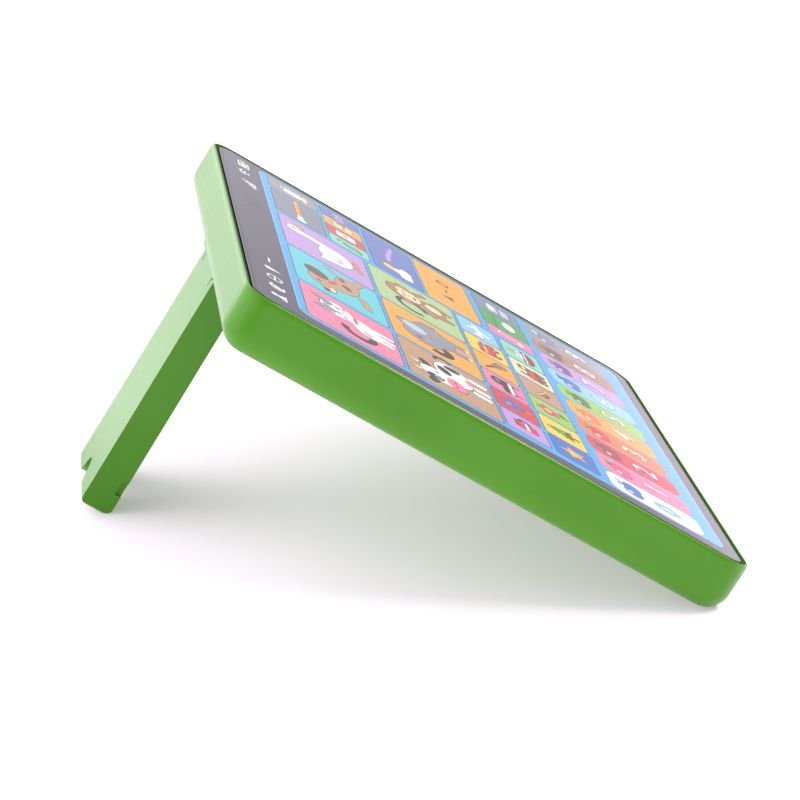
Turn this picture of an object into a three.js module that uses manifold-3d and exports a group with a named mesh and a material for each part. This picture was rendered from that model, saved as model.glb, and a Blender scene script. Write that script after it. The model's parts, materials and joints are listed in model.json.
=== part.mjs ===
// Toy learning tablet standing on its fold-out rear leg.
// Millimetres. Inside the tablet group X runs across the screen, Y up the screen and Z out of it,
// with z = 0 on the flat back. The finished group leans back and is set down on +Z up.
import * as THREE from 'three';
import { mergeVertices } from 'three/addons/utils/BufferGeometryUtils.js';
import Module from 'manifold-3d';

const wasm = await Module();
wasm.setup();

// ---------- driving dimensions ----------
const WIDTH = 246;
const HEIGHT = 220;
const DEPTH = 23.2;
const CORNER = 11;
const BACK_ROUND = 9.6;
const WALL = 2.4;
const RIM = 1.2;
const LEDGE_Z = 16.1;
const GAP = 0.3;
const SCREEN_TOP = 23;
const SHEET_THICK = 1.5;
const FILM_THICK = 0.3;

const LEG_WIDTH = 54;
const LEG_THICK = 13.2;
const LEG_REACH = 104;
const LEG_TOP = 103.95;
const LEG_WALL = 2.2;
const LEG_TIP_OUTER = 2;
const LEG_TIP_INNER = 3;
const PIVOT_Y = LEG_TOP - LEG_THICK / 2;
const PIVOT_Z = LEG_THICK / 2 + 0.2;
const SLIT_INSET = 7;
const SLIT_END = -5;
const PIVOT_PIN = 2.4;
const PIVOT_PIN_LENGTH = 1.6;
const RECESS_SIDE_GAP = 0.5;
const RECESS_WALL = 1.5;

const CELL_RADIUS = 5.2;
const CELL_LENGTH = 43.3;
const CELL_PITCH = 11.4;
const CELL_COUNT = 3;
const BAY_Y = -46.5;
const BAY_HALF_X = 27;
const BAY_HALF_Y = 18;
const BAY_TOP = 13.6;
const DOOR_HALF_X = 31;
const DOOR_LOW_Y = -74;
const DOOR_HIGH_Y = -25.5;
const DOOR_THICK = 1.9;
const DOOR_SCREW_Y = -69.5;

const SPEAKER_X = -76;
const SPEAKER_Y = 58;
const SPEAKER_RADIUS = 20;
const SPEAKER_Z = WALL + GAP;

const SWITCH_X = 76;
const SWITCH_Y = 82;
const SWITCH_TRAVEL = 6;

const BOARD = { x0: 40, x1: 100, y0: -14, y1: 48, z0: 12.4, z1: 14 };
const CASE_SCREWS = [[-108, 96], [108, 96], [-108, 0], [108, 0], [-108, -96], [108, -96]];
const BOARD_SCREWS = [[45, 43], [95, 43], [95, -9]];

const SHEET_HALF_X = 119.7;
const SHEET_HALF_Y = 106.7;

// Printed keys, in millimetres from the sheet's left and top edges: [left, right, top, bottom].
const BIG_COLUMNS = [[8.8, 58.5], [61.2, 110.6], [113, 163.2]];
const BIG_ROWS = [[24.4, 64.8], [66.8, 106.7]];
const SMALL_ROWS = [[109, 128], [130.4, 149.6]];
const SMALL_COUNT = 6;
const DIGIT_ROW = [154, 194.8];
const DIGIT_COUNT = 10;
const SIDE_COLUMN = [
  [166.7, 207.2, 24.8, 47.6], [209.2, 228.4, 24.8, 47.6],
  [166.7, 181, 50.5, 69], [182.5, 196.8, 50.5, 69], [198.3, 212.6, 50.5, 69], [214.1, 228.4, 50.5, 69],
  [166.7, 228.4, 71.4, 95.3], [166.7, 228.4, 97.2, 124],
  [166.7, 180.5, 127.3, 149.6], [182.4, 206.3, 127.3, 149.6], [208.2, 228.4, 127.3, 149.6],
];

const GREEN = 0x5db52e;
const BLACK = 0x1c1b22;

// ---------- solids ----------
function toSolid(geometry) {
  const bare = geometry.clone();
  for (const name of Object.keys(bare.attributes)) {
    if (name !== 'position') bare.deleteAttribute(name);
  }
  const merged = mergeVertices(bare, 1e-4);
  const vertProperties = new Float32Array(merged.attributes.position.array);
  const triVerts = new Uint32Array(merged.index.array);
  return new wasm.Manifold(new wasm.Mesh({ numProp: 3, vertProperties, triVerts }));
}

function toGeometry(solid) {
  const mesh = solid.getMesh();
  const geometry = new THREE.BufferGeometry();
  geometry.setAttribute('position', new THREE.BufferAttribute(new Float32Array(mesh.vertProperties), 3));
  geometry.setIndex(new THREE.BufferAttribute(new Uint32Array(mesh.triVerts), 1));
  geometry.computeVertexNormals();
  return geometry;
}

function box(x0, x1, y0, y1, z0, z1) {
  const geometry = new THREE.BoxGeometry(x1 - x0, y1 - y0, z1 - z0);
  geometry.translate((x0 + x1) / 2, (y0 + y1) / 2, (z0 + z1) / 2);
  return toSolid(geometry);
}

function rod(x, y, radius, z0, z1, sides = 14, endRadius = radius) {
  const geometry = new THREE.CylinderGeometry(endRadius, radius, z1 - z0, sides);
  geometry.rotateX(Math.PI / 2);
  geometry.translate(x, y, (z0 + z1) / 2);
  return toSolid(geometry);
}

function rodAlongX(y, z, radius, x0, x1, sides = 16) {
  const geometry = new THREE.CylinderGeometry(radius, radius, x1 - x0, sides);
  geometry.rotateZ(Math.PI / 2);
  geometry.translate((x0 + x1) / 2, y, z);
  return toSolid(geometry);
}

function roundedOutline(halfX, halfY, radius, steps) {
  const points = [];
  const centres = [[1, 1, 0], [-1, 1, 1], [-1, -1, 2], [1, -1, 3]];
  for (const [sx, sy, quarter] of centres) {
    for (let i = 0; i <= steps; i += 1) {
      const angle = (quarter + i / steps) * Math.PI / 2;
      const x = sx * (halfX - radius) + radius * Math.cos(angle);
      const y = sy * (halfY - radius) + radius * Math.sin(angle);
      points.push(new THREE.Vector2(x, y));
    }
  }
  return points;
}

// Joins rounded-rectangle rings, listed from low z to high z, into one closed body.
function loft(rings) {
  const count = rings[0].points.length;
  const positions = rings.flatMap(({ points, z }) => points.flatMap((p) => [p.x, p.y, z]));
  const index = [];
  for (let ring = 0; ring + 1 < rings.length; ring += 1) {
    for (let i = 0; i < count; i += 1) {
      const a = ring * count + i;
      const b = ring * count + (i + 1) % count;
      index.push(a, b, b + count, a, b + count, a + count);
    }
  }
  const last = (rings.length - 1) * count;
  for (let i = 1; i + 1 < count; i += 1) {
    index.push(0, i + 1, i);
    index.push(last, last + i, last + i + 1);
  }
  const geometry = new THREE.BufferGeometry();
  geometry.setAttribute('position', new THREE.BufferAttribute(new Float32Array(positions), 3));
  geometry.setIndex(index);
  return toSolid(geometry);
}

function slab(inset, z0, z1, steps = 5) {
  const radius = Math.max(CORNER - inset, 0.5);
  const points = roundedOutline(WIDTH / 2 - inset, HEIGHT / 2 - inset, radius, steps);
  return loft([{ points, z: z0 }, { points, z: z1 }]);
}

// The tray outline moved in by `inset`, with a round of `round` between its back and its walls.
function roundBackedSlab(inset, round, z0, z1, arcSteps) {
  const rings = [];
  for (let i = 0; i <= arcSteps; i += 1) {
    const angle = (i / arcSteps) * Math.PI / 2;
    const shrink = inset + round * (1 - Math.sin(angle));
    const radius = Math.max(CORNER - shrink, 0.4);
    const points = roundedOutline(WIDTH / 2 - shrink, HEIGHT / 2 - shrink, radius, 5);
    rings.push({ points, z: z0 + round * (1 - Math.cos(angle)) });
  }
  rings.push({ points: rings[arcSteps].points, z: z1 });
  return loft(rings);
}

function prismAlongX(outline, x0, x1) {
  const shape = new THREE.Shape(outline.map(([y, z]) => new THREE.Vector2(y, z)));
  const geometry = new THREE.ExtrudeGeometry(shape, { depth: x1 - x0, bevelEnabled: false });
  geometry.rotateY(Math.PI / 2);
  geometry.rotateX(Math.PI / 2);
  geometry.translate(x0, 0, 0);
  return toSolid(geometry);
}

function arcPoints(cy, cz, radius, from, to, steps) {
  return Array.from({ length: steps + 1 }, (_, i) => {
    const angle = THREE.MathUtils.degToRad(from + (to - from) * i / steps);
    return [cy + radius * Math.cos(angle), cz + radius * Math.sin(angle)];
  });
}

const parts = new THREE.Group();

function addPart(name, solid, color, roughness = 0.45, metalness = 0) {
  const material = new THREE.MeshStandardMaterial({ color, roughness, metalness });
  const mesh = new THREE.Mesh(toGeometry(solid), material);
  mesh.name = name;
  parts.add(mesh);
}

// ---------- housing ----------
function recessBox(grow) {
  const half = LEG_WIDTH / 2 + RECESS_SIDE_GAP + grow;
  const low = PIVOT_Y - PIVOT_Z - LEG_REACH - 0.8 - grow;
  return box(-half, half, low, LEG_TOP + GAP + grow, -1, LEG_THICK + 0.5 + grow);
}

function hingeSockets() {
  const half = LEG_WIDTH / 2 + RECESS_SIDE_GAP;
  const reach = half + PIVOT_PIN_LENGTH;
  return rodAlongX(PIVOT_Y, PIVOT_Z, PIVOT_PIN + GAP, -reach, reach);
}

function hingeBosses() {
  const half = LEG_WIDTH / 2 + RECESS_SIDE_GAP;
  const reach = half + PIVOT_PIN_LENGTH + 1.2;
  return rodAlongX(PIVOT_Y, PIVOT_Z, PIVOT_PIN + 2.2, -reach, reach);
}

function bayBox(grow) {
  return box(-BAY_HALF_X - grow, BAY_HALF_X + grow, BAY_Y - BAY_HALF_Y - grow, BAY_Y + BAY_HALF_Y + grow, -1,
    BAY_TOP + grow);
}

function doorRebate(grow) {
  const side = GAP + grow;
  return box(-DOOR_HALF_X - side, DOOR_HALF_X + side, DOOR_LOW_Y - side, DOOR_HIGH_Y + side, -1,
    DOOR_THICK + 0.5 + grow);
}

function grilleHoles() {
  const holes = [];
  for (const [ringRadius, count] of [[0, 1], [6, 6], [12, 12]]) {
    for (let i = 0; i < count; i += 1) {
      const angle = (i / count) * Math.PI * 2;
      const x = SPEAKER_X + ringRadius * Math.cos(angle);
      const y = SPEAKER_Y + ringRadius * Math.sin(angle);
      holes.push(rod(x, y, 1.5, -1, WALL + 1, 8));
    }
  }
  return holes;
}

function caseScrewTubes(tray) {
  let body = tray;
  for (const [x, y] of CASE_SCREWS) {
    body = body.add(rod(x, y, 4.4, 1, 8));
    body = body.subtract(rod(x, y, 2.9, -1, 5.8));
    body = body.subtract(rod(x, y, 1.7, 5, 9));
  }
  return body;
}

function speakerSeat(tray) {
  const ring = rod(SPEAKER_X, SPEAKER_Y, SPEAKER_RADIUS + 2.2, 1, 5, 32)
    .subtract(rod(SPEAKER_X, SPEAKER_Y, SPEAKER_RADIUS + GAP + 0.2, -1, 6, 32));
  let body = tray.add(ring);
  for (const side of [-1, 1]) {
    const x = SPEAKER_X + side * (SPEAKER_RADIUS + 5.5);
    body = body.add(rod(x, SPEAKER_Y, 3.2, 1, 8.2));
    body = body.subtract(rod(x, SPEAKER_Y, 1.5, 3, 9));
  }
  return body;
}

function switchSeat(tray) {
  let body = tray.add(box(SWITCH_X - 14, SWITCH_X + 14, SWITCH_Y - 6, SWITCH_Y + 6, 1, 3.2));
  body = body.subtract(box(SWITCH_X - 9, SWITCH_X + 9, SWITCH_Y - 4, SWITCH_Y + 4, -1, 1.2));
  body = body.subtract(box(SWITCH_X - 6, SWITCH_X + 6, SWITCH_Y - 2.1, SWITCH_Y + 2.1, 0, 4));
  for (const side of [-1, 1]) {
    const x = SWITCH_X + side * 17;
    body = body.add(rod(x, SWITCH_Y, 3, 1, 9));
    body = body.subtract(rod(x, SWITCH_Y, 1.3, 4, 10));
  }
  return body;
}

function doorScrewBoss(tray) {
  return tray.add(rod(0, DOOR_SCREW_Y, 3.6, 2, 12)).subtract(rod(0, DOOR_SCREW_Y, 1.6, 1, 10.5));
}

function housing() {
  const outer = roundBackedSlab(0, BACK_ROUND, 0, DEPTH, 7);
  const inner = roundBackedSlab(WALL, BACK_ROUND - WALL, WALL, LEDGE_Z + 1, 6);
  let tray = outer.subtract(inner).subtract(slab(RIM, LEDGE_Z, DEPTH + 1));
  tray = tray.add(recessBox(RECESS_WALL).add(hingeBosses()).intersect(outer));
  tray = tray.add(bayBox(RECESS_WALL).add(doorRebate(RECESS_WALL)).intersect(outer));
  tray = speakerSeat(tray);
  tray = switchSeat(tray);
  tray = caseScrewTubes(tray);
  tray = doorScrewBoss(tray);
  tray = tray.subtract(recessBox(0)).subtract(hingeSockets()).subtract(bayBox(0)).subtract(doorRebate(0));
  for (const hole of grilleHoles()) tray = tray.subtract(hole);
  return tray;
}

// ---------- leg ----------
function legOutline() {
  const inner = LEG_TOP - LEG_THICK;
  const tip = -LEG_REACH;
  return [
    ...arcPoints(PIVOT_Y, PIVOT_Z, LEG_THICK / 2, 0, 180, 10),
    ...arcPoints(inner + LEG_TIP_INNER, tip + LEG_TIP_INNER, LEG_TIP_INNER, 180, 270, 4),
    ...arcPoints(LEG_TOP - LEG_TIP_OUTER, tip + LEG_TIP_OUTER, LEG_TIP_OUTER, 270, 360, 3),
  ];
}

// Finger notch in the leg's end: a round-headed slot that flares out towards the tip.
function fingerNotch() {
  const head = 4.5;
  const flare = 9.5;
  const depth = 10;
  const shape = new THREE.Shape();
  shape.moveTo(-head - flare, -1);
  shape.lineTo(head + flare, -1);
  shape.lineTo(head + flare, 0);
  shape.quadraticCurveTo(head, 0, head, depth - head);
  shape.absarc(0, depth - head, head, 0, Math.PI, false);
  shape.quadraticCurveTo(-head, 0, -head - flare, 0);
  const geometry = new THREE.ExtrudeGeometry(shape, { depth: LEG_THICK + 2, bevelEnabled: false, curveSegments: 6 });
  geometry.rotateX(Math.PI / 2);
  geometry.translate(0, LEG_TOP + 1, -LEG_REACH);
  return toSolid(geometry);
}

function leg() {
  const half = LEG_WIDTH / 2;
  let body = prismAlongX(legOutline(), -half, half);
  const pocketEnds = [-89, -64, -39, -14];
  for (const low of pocketEnds) {
    const high = Math.min(low + 23.4, -6);
    if (high - low < 4) continue;
    body = body.subtract(box(-half + LEG_WALL, half - LEG_WALL, 80, LEG_TOP - LEG_WALL, low, high));
  }
  for (const side of [-1, 1]) {
    const slitX = side * (half - SLIT_INSET);
    body = body.subtract(box(slitX - 0.5, slitX + 0.5, 80, 120, SLIT_END, 20));
    const dimpleX = side * half;
    body = body.subtract(box(dimpleX - 1, dimpleX + 1, 80, LEG_TOP - LEG_THICK + 2.6, -95, -89));
  }
  const reach = half + RECESS_SIDE_GAP + PIVOT_PIN_LENGTH - GAP;
  body = body.add(rodAlongX(PIVOT_Y, PIVOT_Z, PIVOT_PIN, half - 3, reach));
  body = body.add(rodAlongX(PIVOT_Y, PIVOT_Z, PIVOT_PIN, -reach, -half + 3));
  return body.subtract(fingerNotch());
}

// ---------- front stack ----------
// Underside of one of the three touch films below the printed sheet, counted up from the plate.
function filmLevel(index) {
  return SCREEN_TOP - SHEET_THICK - (3 - index) * (FILM_THICK + GAP);
}

function frontPlate() {
  const border = slab(RIM + GAP, LEDGE_Z + GAP, SCREEN_TOP - 0.6);
  let plate = border.subtract(slab(RIM + GAP + 1.5, filmLevel(0) - GAP, DEPTH));
  for (const [x, y] of CASE_SCREWS) {
    plate = plate.add(rod(x, y, 3.4, 8.3, 17)).subtract(rod(x, y, 1.6, 8, 16));
  }
  for (const [x, y] of BOARD_SCREWS) {
    plate = plate.add(rod(x, y, 2.8, BOARD.z1 + GAP, 17)).subtract(rod(x, y, 1.3, BOARD.z1, 17.4));
  }
  return plate.subtract(box(58, 80, -27.6, -25.2, 15, 20));
}

function sheetSlab(inset, z0, z1) {
  const points = roundedOutline(SHEET_HALF_X - inset, SHEET_HALF_Y - inset, 7.7 - inset, 4);
  return loft([{ points, z: z0 }, { points, z: z1 }]);
}

function keyBoxes() {
  const keys = [...SIDE_COLUMN];
  for (const [top, bottom] of BIG_ROWS) {
    for (const [left, right] of BIG_COLUMNS) keys.push([left, right, top, bottom]);
  }
  const gridLeft = BIG_COLUMNS[0][0];
  const smallPitch = (BIG_COLUMNS[2][1] - gridLeft) / SMALL_COUNT;
  for (const [top, bottom] of SMALL_ROWS) {
    for (let i = 0; i < SMALL_COUNT; i += 1) {
      keys.push([gridLeft + i * smallPitch, gridLeft + (i + 1) * smallPitch, top, bottom]);
    }
  }
  const digitPitch = (SIDE_COLUMN[1][1] - gridLeft) / DIGIT_COUNT;
  for (let i = 0; i < DIGIT_COUNT; i += 1) {
    keys.push([gridLeft + i * digitPitch, gridLeft + (i + 1) * digitPitch, ...DIGIT_ROW]);
  }
  return keys;
}

function spacerSheet() {
  let sheet = sheetSlab(1, filmLevel(1), filmLevel(1) + FILM_THICK);
  for (const [left, right, top, bottom] of keyBoxes()) {
    const x = (left + right) / 2 - SHEET_HALF_X;
    const y = SHEET_HALF_Y - (top + bottom) / 2;
    const radius = Math.min(right - left, bottom - top) * 0.32;
    sheet = sheet.subtract(rod(x, y, radius, filmLevel(1) - 0.2, filmLevel(1) + 0.6, 8));
  }
  return sheet;
}

// Flat tail of the lower touch sheet: through the plate's slot, then up the screen to its plug.
function touchTail() {
  const thick = 0.3;
  const drop = -26.4;
  const top = filmLevel(0) - GAP;
  const outline = [
    [drop, top], [drop, 10.9], [drop + 0.6, 10.2], [-13.6, 10.2],
    [-13.6, 10.2 - thick], [drop + 0.4, 10.2 - thick], [drop - thick, 10.7], [drop - thick, top],
  ];
  return prismAlongX(outline, 60, 78);
}

// ---------- loose hardware ----------
function screw(x, y, headZ, tipZ, headRadius, shankRadius, headThick = 1.5) {
  const away = Math.sign(tipZ - headZ);
  const headEnd = headZ + away * headThick;
  const head = rod(x, y, headRadius, Math.min(headZ, headEnd), Math.max(headZ, headEnd), 14);
  const root = headZ + away * headThick / 2;
  const shank = rod(x, y, shankRadius, Math.min(root, tipZ), Math.max(root, tipZ), 10);
  const slotLow = Math.min(headZ - away * 0.5, headZ + away * 0.7);
  const slotHigh = Math.max(headZ - away * 0.5, headZ + away * 0.7);
  const reach = headRadius * 0.7;
  const cross = box(x - reach, x + reach, y - 0.3, y + 0.3, slotLow, slotHigh)
    .add(box(x - 0.3, x + 0.3, y - reach, y + reach, slotLow, slotHigh));
  return head.add(shank).subtract(cross);
}

function cellY(index) {
  return BAY_Y + (index - (CELL_COUNT - 1) / 2) * CELL_PITCH;
}

const CELL_Z = 2.9 + CELL_RADIUS;

function cell(index) {
  const flip = index % 2 === 0 ? 1 : -1;
  const can = rodAlongX(cellY(index), CELL_Z, CELL_RADIUS, -CELL_LENGTH / 2, CELL_LENGTH / 2, 20);
  const nubStart = flip * CELL_LENGTH / 2;
  const nubEnd = nubStart + flip * 0.9;
  const low = Math.min(nubStart, nubEnd) - 0.2;
  const high = Math.max(nubStart, nubEnd) + 0.2;
  return can.add(rodAlongX(cellY(index), CELL_Z, 1.9, low, high, 12));
}

function contactPlate(index) {
  const flip = index % 2 === 0 ? 1 : -1;
  const x = flip * (BAY_HALF_X - GAP - 0.25);
  const y = cellY(index);
  return box(x - 0.25, x + 0.25, y - 4.4, y + 4.4, 3.4, 12.8)
    .add(box(Math.min(x, x - flip * 3.6), Math.max(x, x - flip * 3.6), y - 2, y + 2, CELL_Z - 2, CELL_Z + 2));
}

// Conical return spring of a battery contact, closed as a stepped cone.
function contactSpring(index) {
  const flip = index % 2 === 0 ? -1 : 1;
  const profile = [[0, 0], [4.2, 0], [4.2, 0.8], [3.7, 1.6], [3.2, 2.4], [2.7, 3.2], [2.2, 4], [0, 4]];
  const points = profile.map(([radius, height]) => new THREE.Vector2(radius, height));
  const geometry = new THREE.LatheGeometry(points, 14);
  geometry.rotateZ(flip * Math.PI / 2);
  geometry.translate(flip * (BAY_HALF_X - GAP), cellY(index), CELL_Z);
  return toSolid(geometry);
}

function batteryDoor() {
  let door = box(-DOOR_HALF_X, DOOR_HALF_X, DOOR_LOW_Y, DOOR_HIGH_Y, 0.2, 0.2 + DOOR_THICK);
  door = door.subtract(rod(0, DOOR_SCREW_Y, 2.9, -1, 1.6)).subtract(rod(0, DOOR_SCREW_Y, 1.7, 0, 4));
  for (let i = 0; i < 5; i += 1) {
    const y = DOOR_HIGH_Y - 5 - i * 2.2;
    door = door.subtract(box(-9, 9, y, y + 1, -1, 0.7));
  }
  return door;
}

function speakerBasket() {
  const rim = rod(SPEAKER_X, SPEAKER_Y, SPEAKER_RADIUS, SPEAKER_Z, SPEAKER_Z + 1.2, 32)
    .subtract(rod(SPEAKER_X, SPEAKER_Y, 17.6, 0, 10, 32));
  const dish = rod(SPEAKER_X, SPEAKER_Y, 18.6, SPEAKER_Z + 0.8, SPEAKER_Z + 4.2, 32, 10.4)
    .subtract(rod(SPEAKER_X, SPEAKER_Y, 17.6, SPEAKER_Z + 0.6, SPEAKER_Z + 3.8, 32, 9.6))
    .subtract(rod(SPEAKER_X, SPEAKER_Y, 6, 0, 10, 20));
  return rim.add(dish);
}

function speakerCone() {
  const profile = [[0, 1.7], [5, 1.7], [5.4, 2.6], [16.6, 0.8], [17.2, 0.8], [17.2, 0.5], [16.4, 0.5], [5.4, 2.2],
    [5, 1.3], [0, 1.3]];
  const points = profile.map(([radius, height]) => new THREE.Vector2(radius, height)).reverse();
  const geometry = new THREE.LatheGeometry(points, 24);
  geometry.rotateX(Math.PI / 2);
  geometry.translate(SPEAKER_X, SPEAKER_Y, SPEAKER_Z);
  return toSolid(geometry);
}

function speakerClamp() {
  let ring = rod(SPEAKER_X, SPEAKER_Y, SPEAKER_RADIUS + 1, 8.5, 9.9, 32);
  for (const side of [-1, 1]) {
    const x = SPEAKER_X + side * (SPEAKER_RADIUS + 5.5);
    ring = ring.add(rod(x, SPEAKER_Y, 3.4, 8.5, 9.9)).add(box(Math.min(x, SPEAKER_X + side * 18),
      Math.max(x, SPEAKER_X + side * 18), SPEAKER_Y - 3, SPEAKER_Y + 3, 8.5, 9.9));
  }
  ring = ring.subtract(rod(SPEAKER_X, SPEAKER_Y, 12.6, 8, 11, 24));
  for (const side of [-1, 1]) {
    ring = ring.subtract(rod(SPEAKER_X + side * (SPEAKER_RADIUS + 5.5), SPEAKER_Y, 1.6, 8, 11));
  }
  return ring;
}

function speakerMagnet() {
  return rod(SPEAKER_X, SPEAKER_Y, 9.4, SPEAKER_Z + 4.5, SPEAKER_Z + 10.5, 24);
}

function mainBoard() {
  let board = box(BOARD.x0, BOARD.x1, BOARD.y0, BOARD.y1, BOARD.z0, BOARD.z1);
  for (const [x, y] of BOARD_SCREWS) board = board.subtract(rod(x, y, 1.6, 10, 16));
  return board;
}

function boardPart(x, y, halfX, halfY, height) {
  return box(x - halfX, x + halfX, y - halfY, y + halfY, BOARD.z0 - GAP - height, BOARD.z0 - GAP);
}

function soundChip() {
  return rod(70, 20, 9, BOARD.z0 - GAP - 1.8, BOARD.z0 - GAP, 20);
}

function capacitor(x, y, radius, length) {
  return rod(x, y, radius, BOARD.z0 - GAP - length, BOARD.z0 - GAP, 14);
}

// Slide switch knob: a thumb stud through the back wall on a wide shoe that covers its slot.
function switchKnob() {
  const x = SWITCH_X - SWITCH_TRAVEL / 2;
  const shoe = box(x - 9.4, x + 9.4, SWITCH_Y - 3.6, SWITCH_Y + 3.6, 3.5, 4.5);
  let stud = box(x - 2.6, x + 2.6, SWITCH_Y - 1.7, SWITCH_Y + 1.7, 0.3, 4);
  for (const offset of [-1.3, 0, 1.3]) {
    stud = stud.subtract(box(x + offset - 0.25, x + offset + 0.25, SWITCH_Y - 3, SWITCH_Y + 3, 0, 0.8));
  }
  return shoe.add(stud);
}

function switchBody() {
  return box(SWITCH_X - 9, SWITCH_X + 9, SWITCH_Y - 3.4, SWITCH_Y + 3.4, 4.8, 9);
}

function switchBoard() {
  let board = box(SWITCH_X - 21, SWITCH_X + 21, SWITCH_Y - 5, SWITCH_Y + 5, 9.3, 10.5);
  for (const side of [-1, 1]) board = board.subtract(rod(SWITCH_X + side * 17, SWITCH_Y, 1.5, 8, 12));
  return board;
}

// A thin wire swept through hand-picked points.
function wire(points) {
  const route = new THREE.CatmullRomCurve3(points.map(([x, y, z]) => new THREE.Vector3(x, y, z)), false, 'catmullrom', 0.4);
  const section = new THREE.Shape(Array.from({ length: 8 }, (_, i) => {
    const angle = (i / 8) * Math.PI * 2;
    return new THREE.Vector2(0.7 * Math.cos(angle), 0.7 * Math.sin(angle));
  }));
  const steps = points.length * 4;
  return toSolid(new THREE.ExtrudeGeometry(section, { steps, extrudePath: route, bevelEnabled: false }));
}

// ---------- assembly ----------
function addHousingAndLeg() {
  addPart('housing', housing(), GREEN, 0.28);
  addPart('leg', leg(), GREEN, 0.3);
  addPart('battery_door', batteryDoor(), GREEN, 0.3);
  addPart('door_screw', screw(0, DOOR_SCREW_Y, 0.3, 9.5, 2.5, 1.2, 1), 0xb9bcc2, 0.3, 1);
}

function addFrontStack() {
  addPart('front_plate', frontPlate(), BLACK, 0.35);
  addPart('touch_sheet_lower', sheetSlab(1, filmLevel(0), filmLevel(0) + FILM_THICK), 0xd8d5c4, 0.4);
  addPart('touch_spacer', spacerSheet(), 0xe8e8e4, 0.5);
  addPart('touch_sheet_upper', sheetSlab(1, filmLevel(2), filmLevel(2) + FILM_THICK), 0xd8d5c4, 0.4);
  addPart('printed_sheet', sheetSlab(0, SCREEN_TOP - SHEET_THICK, SCREEN_TOP), 0x86c6ee, 0.12);
  addPart('touch_tail', touchTail(), 0xcfcfc8, 0.4);
}

function addPower() {
  for (let i = 0; i < CELL_COUNT; i += 1) {
    addPart(`cell_${i + 1}`, cell(i), 0x3a6ea5, 0.35, 0.6);
    addPart(`contact_plate_${i + 1}`, contactPlate(i), 0xc8cbd0, 0.3, 1);
    addPart(`contact_spring_${i + 1}`, contactSpring(i), 0xc8cbd0, 0.3, 1);
  }
}

function addSound() {
  addPart('speaker_basket', speakerBasket(), 0x9a9da3, 0.35, 1);
  addPart('speaker_cone', speakerCone(), 0x24242a, 0.8);
  addPart('speaker_magnet', speakerMagnet(), 0x6d7076, 0.4, 1);
  addPart('speaker_clamp', speakerClamp(), 0xc8cbd0, 0.35, 1);
  for (const [i, side] of [-1, 1].entries()) {
    const x = SPEAKER_X + side * (SPEAKER_RADIUS + 5.5);
    addPart(`speaker_screw_${i + 1}`, screw(x, SPEAKER_Y, 11.7, 4, 2.4, 1.1), 0xb9bcc2, 0.3, 1);
  }
}

function addElectronics() {
  addPart('main_board', mainBoard(), 0x2f6b3a, 0.5);
  addPart('sound_chip', soundChip(), 0x17171b, 0.3);
  addPart('amplifier_chip', boardPart(88, 2, 3, 4, 1.6), 0x17171b, 0.4);
  addPart('tail_socket', boardPart(69, -11, 10.5, 2.2, 3).subtract(box(59.5, 78.5, -14, -11.4, 9.6, 10.5)), 0xe9e6da, 0.5);
  addPart('capacitor_1', capacitor(50, 4, 3.1, 6.5), 0x22304f, 0.35);
  addPart('capacitor_2', capacitor(50, 14, 2.5, 5.5), 0x22304f, 0.35);
  for (const [i, [x, y]] of BOARD_SCREWS.entries()) {
    addPart(`board_screw_${i + 1}`, screw(x, y, 10.6, 16.6, 2.4, 1.0), 0xb9bcc2, 0.3, 1);
  }
}

function addSwitch() {
  addPart('switch_knob', switchKnob(), BLACK, 0.4);
  addPart('switch_body', switchBody(), 0xb9bcc2, 0.35, 1);
  addPart('switch_board', switchBoard(), 0x2f6b3a, 0.5);
  for (const [i, side] of [-1, 1].entries()) {
    addPart(`switch_screw_${i + 1}`, screw(SWITCH_X + side * 17, SWITCH_Y, 12.3, 5, 2.3, 1), 0xb9bcc2, 0.3, 1);
  }
}

function addCaseScrews() {
  for (const [i, [x, y]] of CASE_SCREWS.entries()) {
    addPart(`case_screw_${i + 1}`, screw(x, y, 4, 15, 2.5, 1.25), 0xb9bcc2, 0.3, 1);
  }
}

function addWires() {
  addPart('speaker_wire_1', wire([[-52, 50, 7], [-44, 40, 8], [-36, 10, 8], [-30, -18, 8], [0, -20, 8], [32, -18, 8],
    [43, -12, 8], [43, -6, 11.3]]), 0xb03030, 0.5);
  addPart('speaker_wire_2', wire([[-52, 46, 7], [-46, 36, 8], [-38.6, 8, 8], [-32, -20.6, 8], [0, -22.8, 8],
    [34, -20.6, 8], [46.4, -12.4, 8], [46.4, -6, 11.3]]), 0x202024, 0.5);
}

addHousingAndLeg();
addFrontStack();
addPower();
addSound();
addElectronics();
addSwitch();
addCaseScrews();
addWires();

// Lean at which the rounded bottom edge of the back and the leg's rounded tip rest on one floor.
function leanAngle() {
  const edge = new THREE.Vector2(-HEIGHT / 2 + BACK_ROUND, BACK_ROUND);
  const tip = new THREE.Vector2(LEG_TOP - LEG_THICK + LEG_TIP_INNER, -LEG_REACH + LEG_TIP_INNER);
  const span = tip.clone().sub(edge);
  return Math.atan2(-span.y, span.x) - Math.asin((BACK_ROUND - LEG_TIP_INNER) / span.length());
}

parts.rotation.x = leanAngle();
const group = new THREE.Group();
group.add(parts);
group.updateMatrixWorld(true);
const bounds = new THREE.Box3().setFromObject(group, true);
parts.position.set(-(bounds.min.x + bounds.max.x) / 2, -(bounds.min.y + bounds.max.y) / 2, -bounds.min.z);

export default group;
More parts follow.
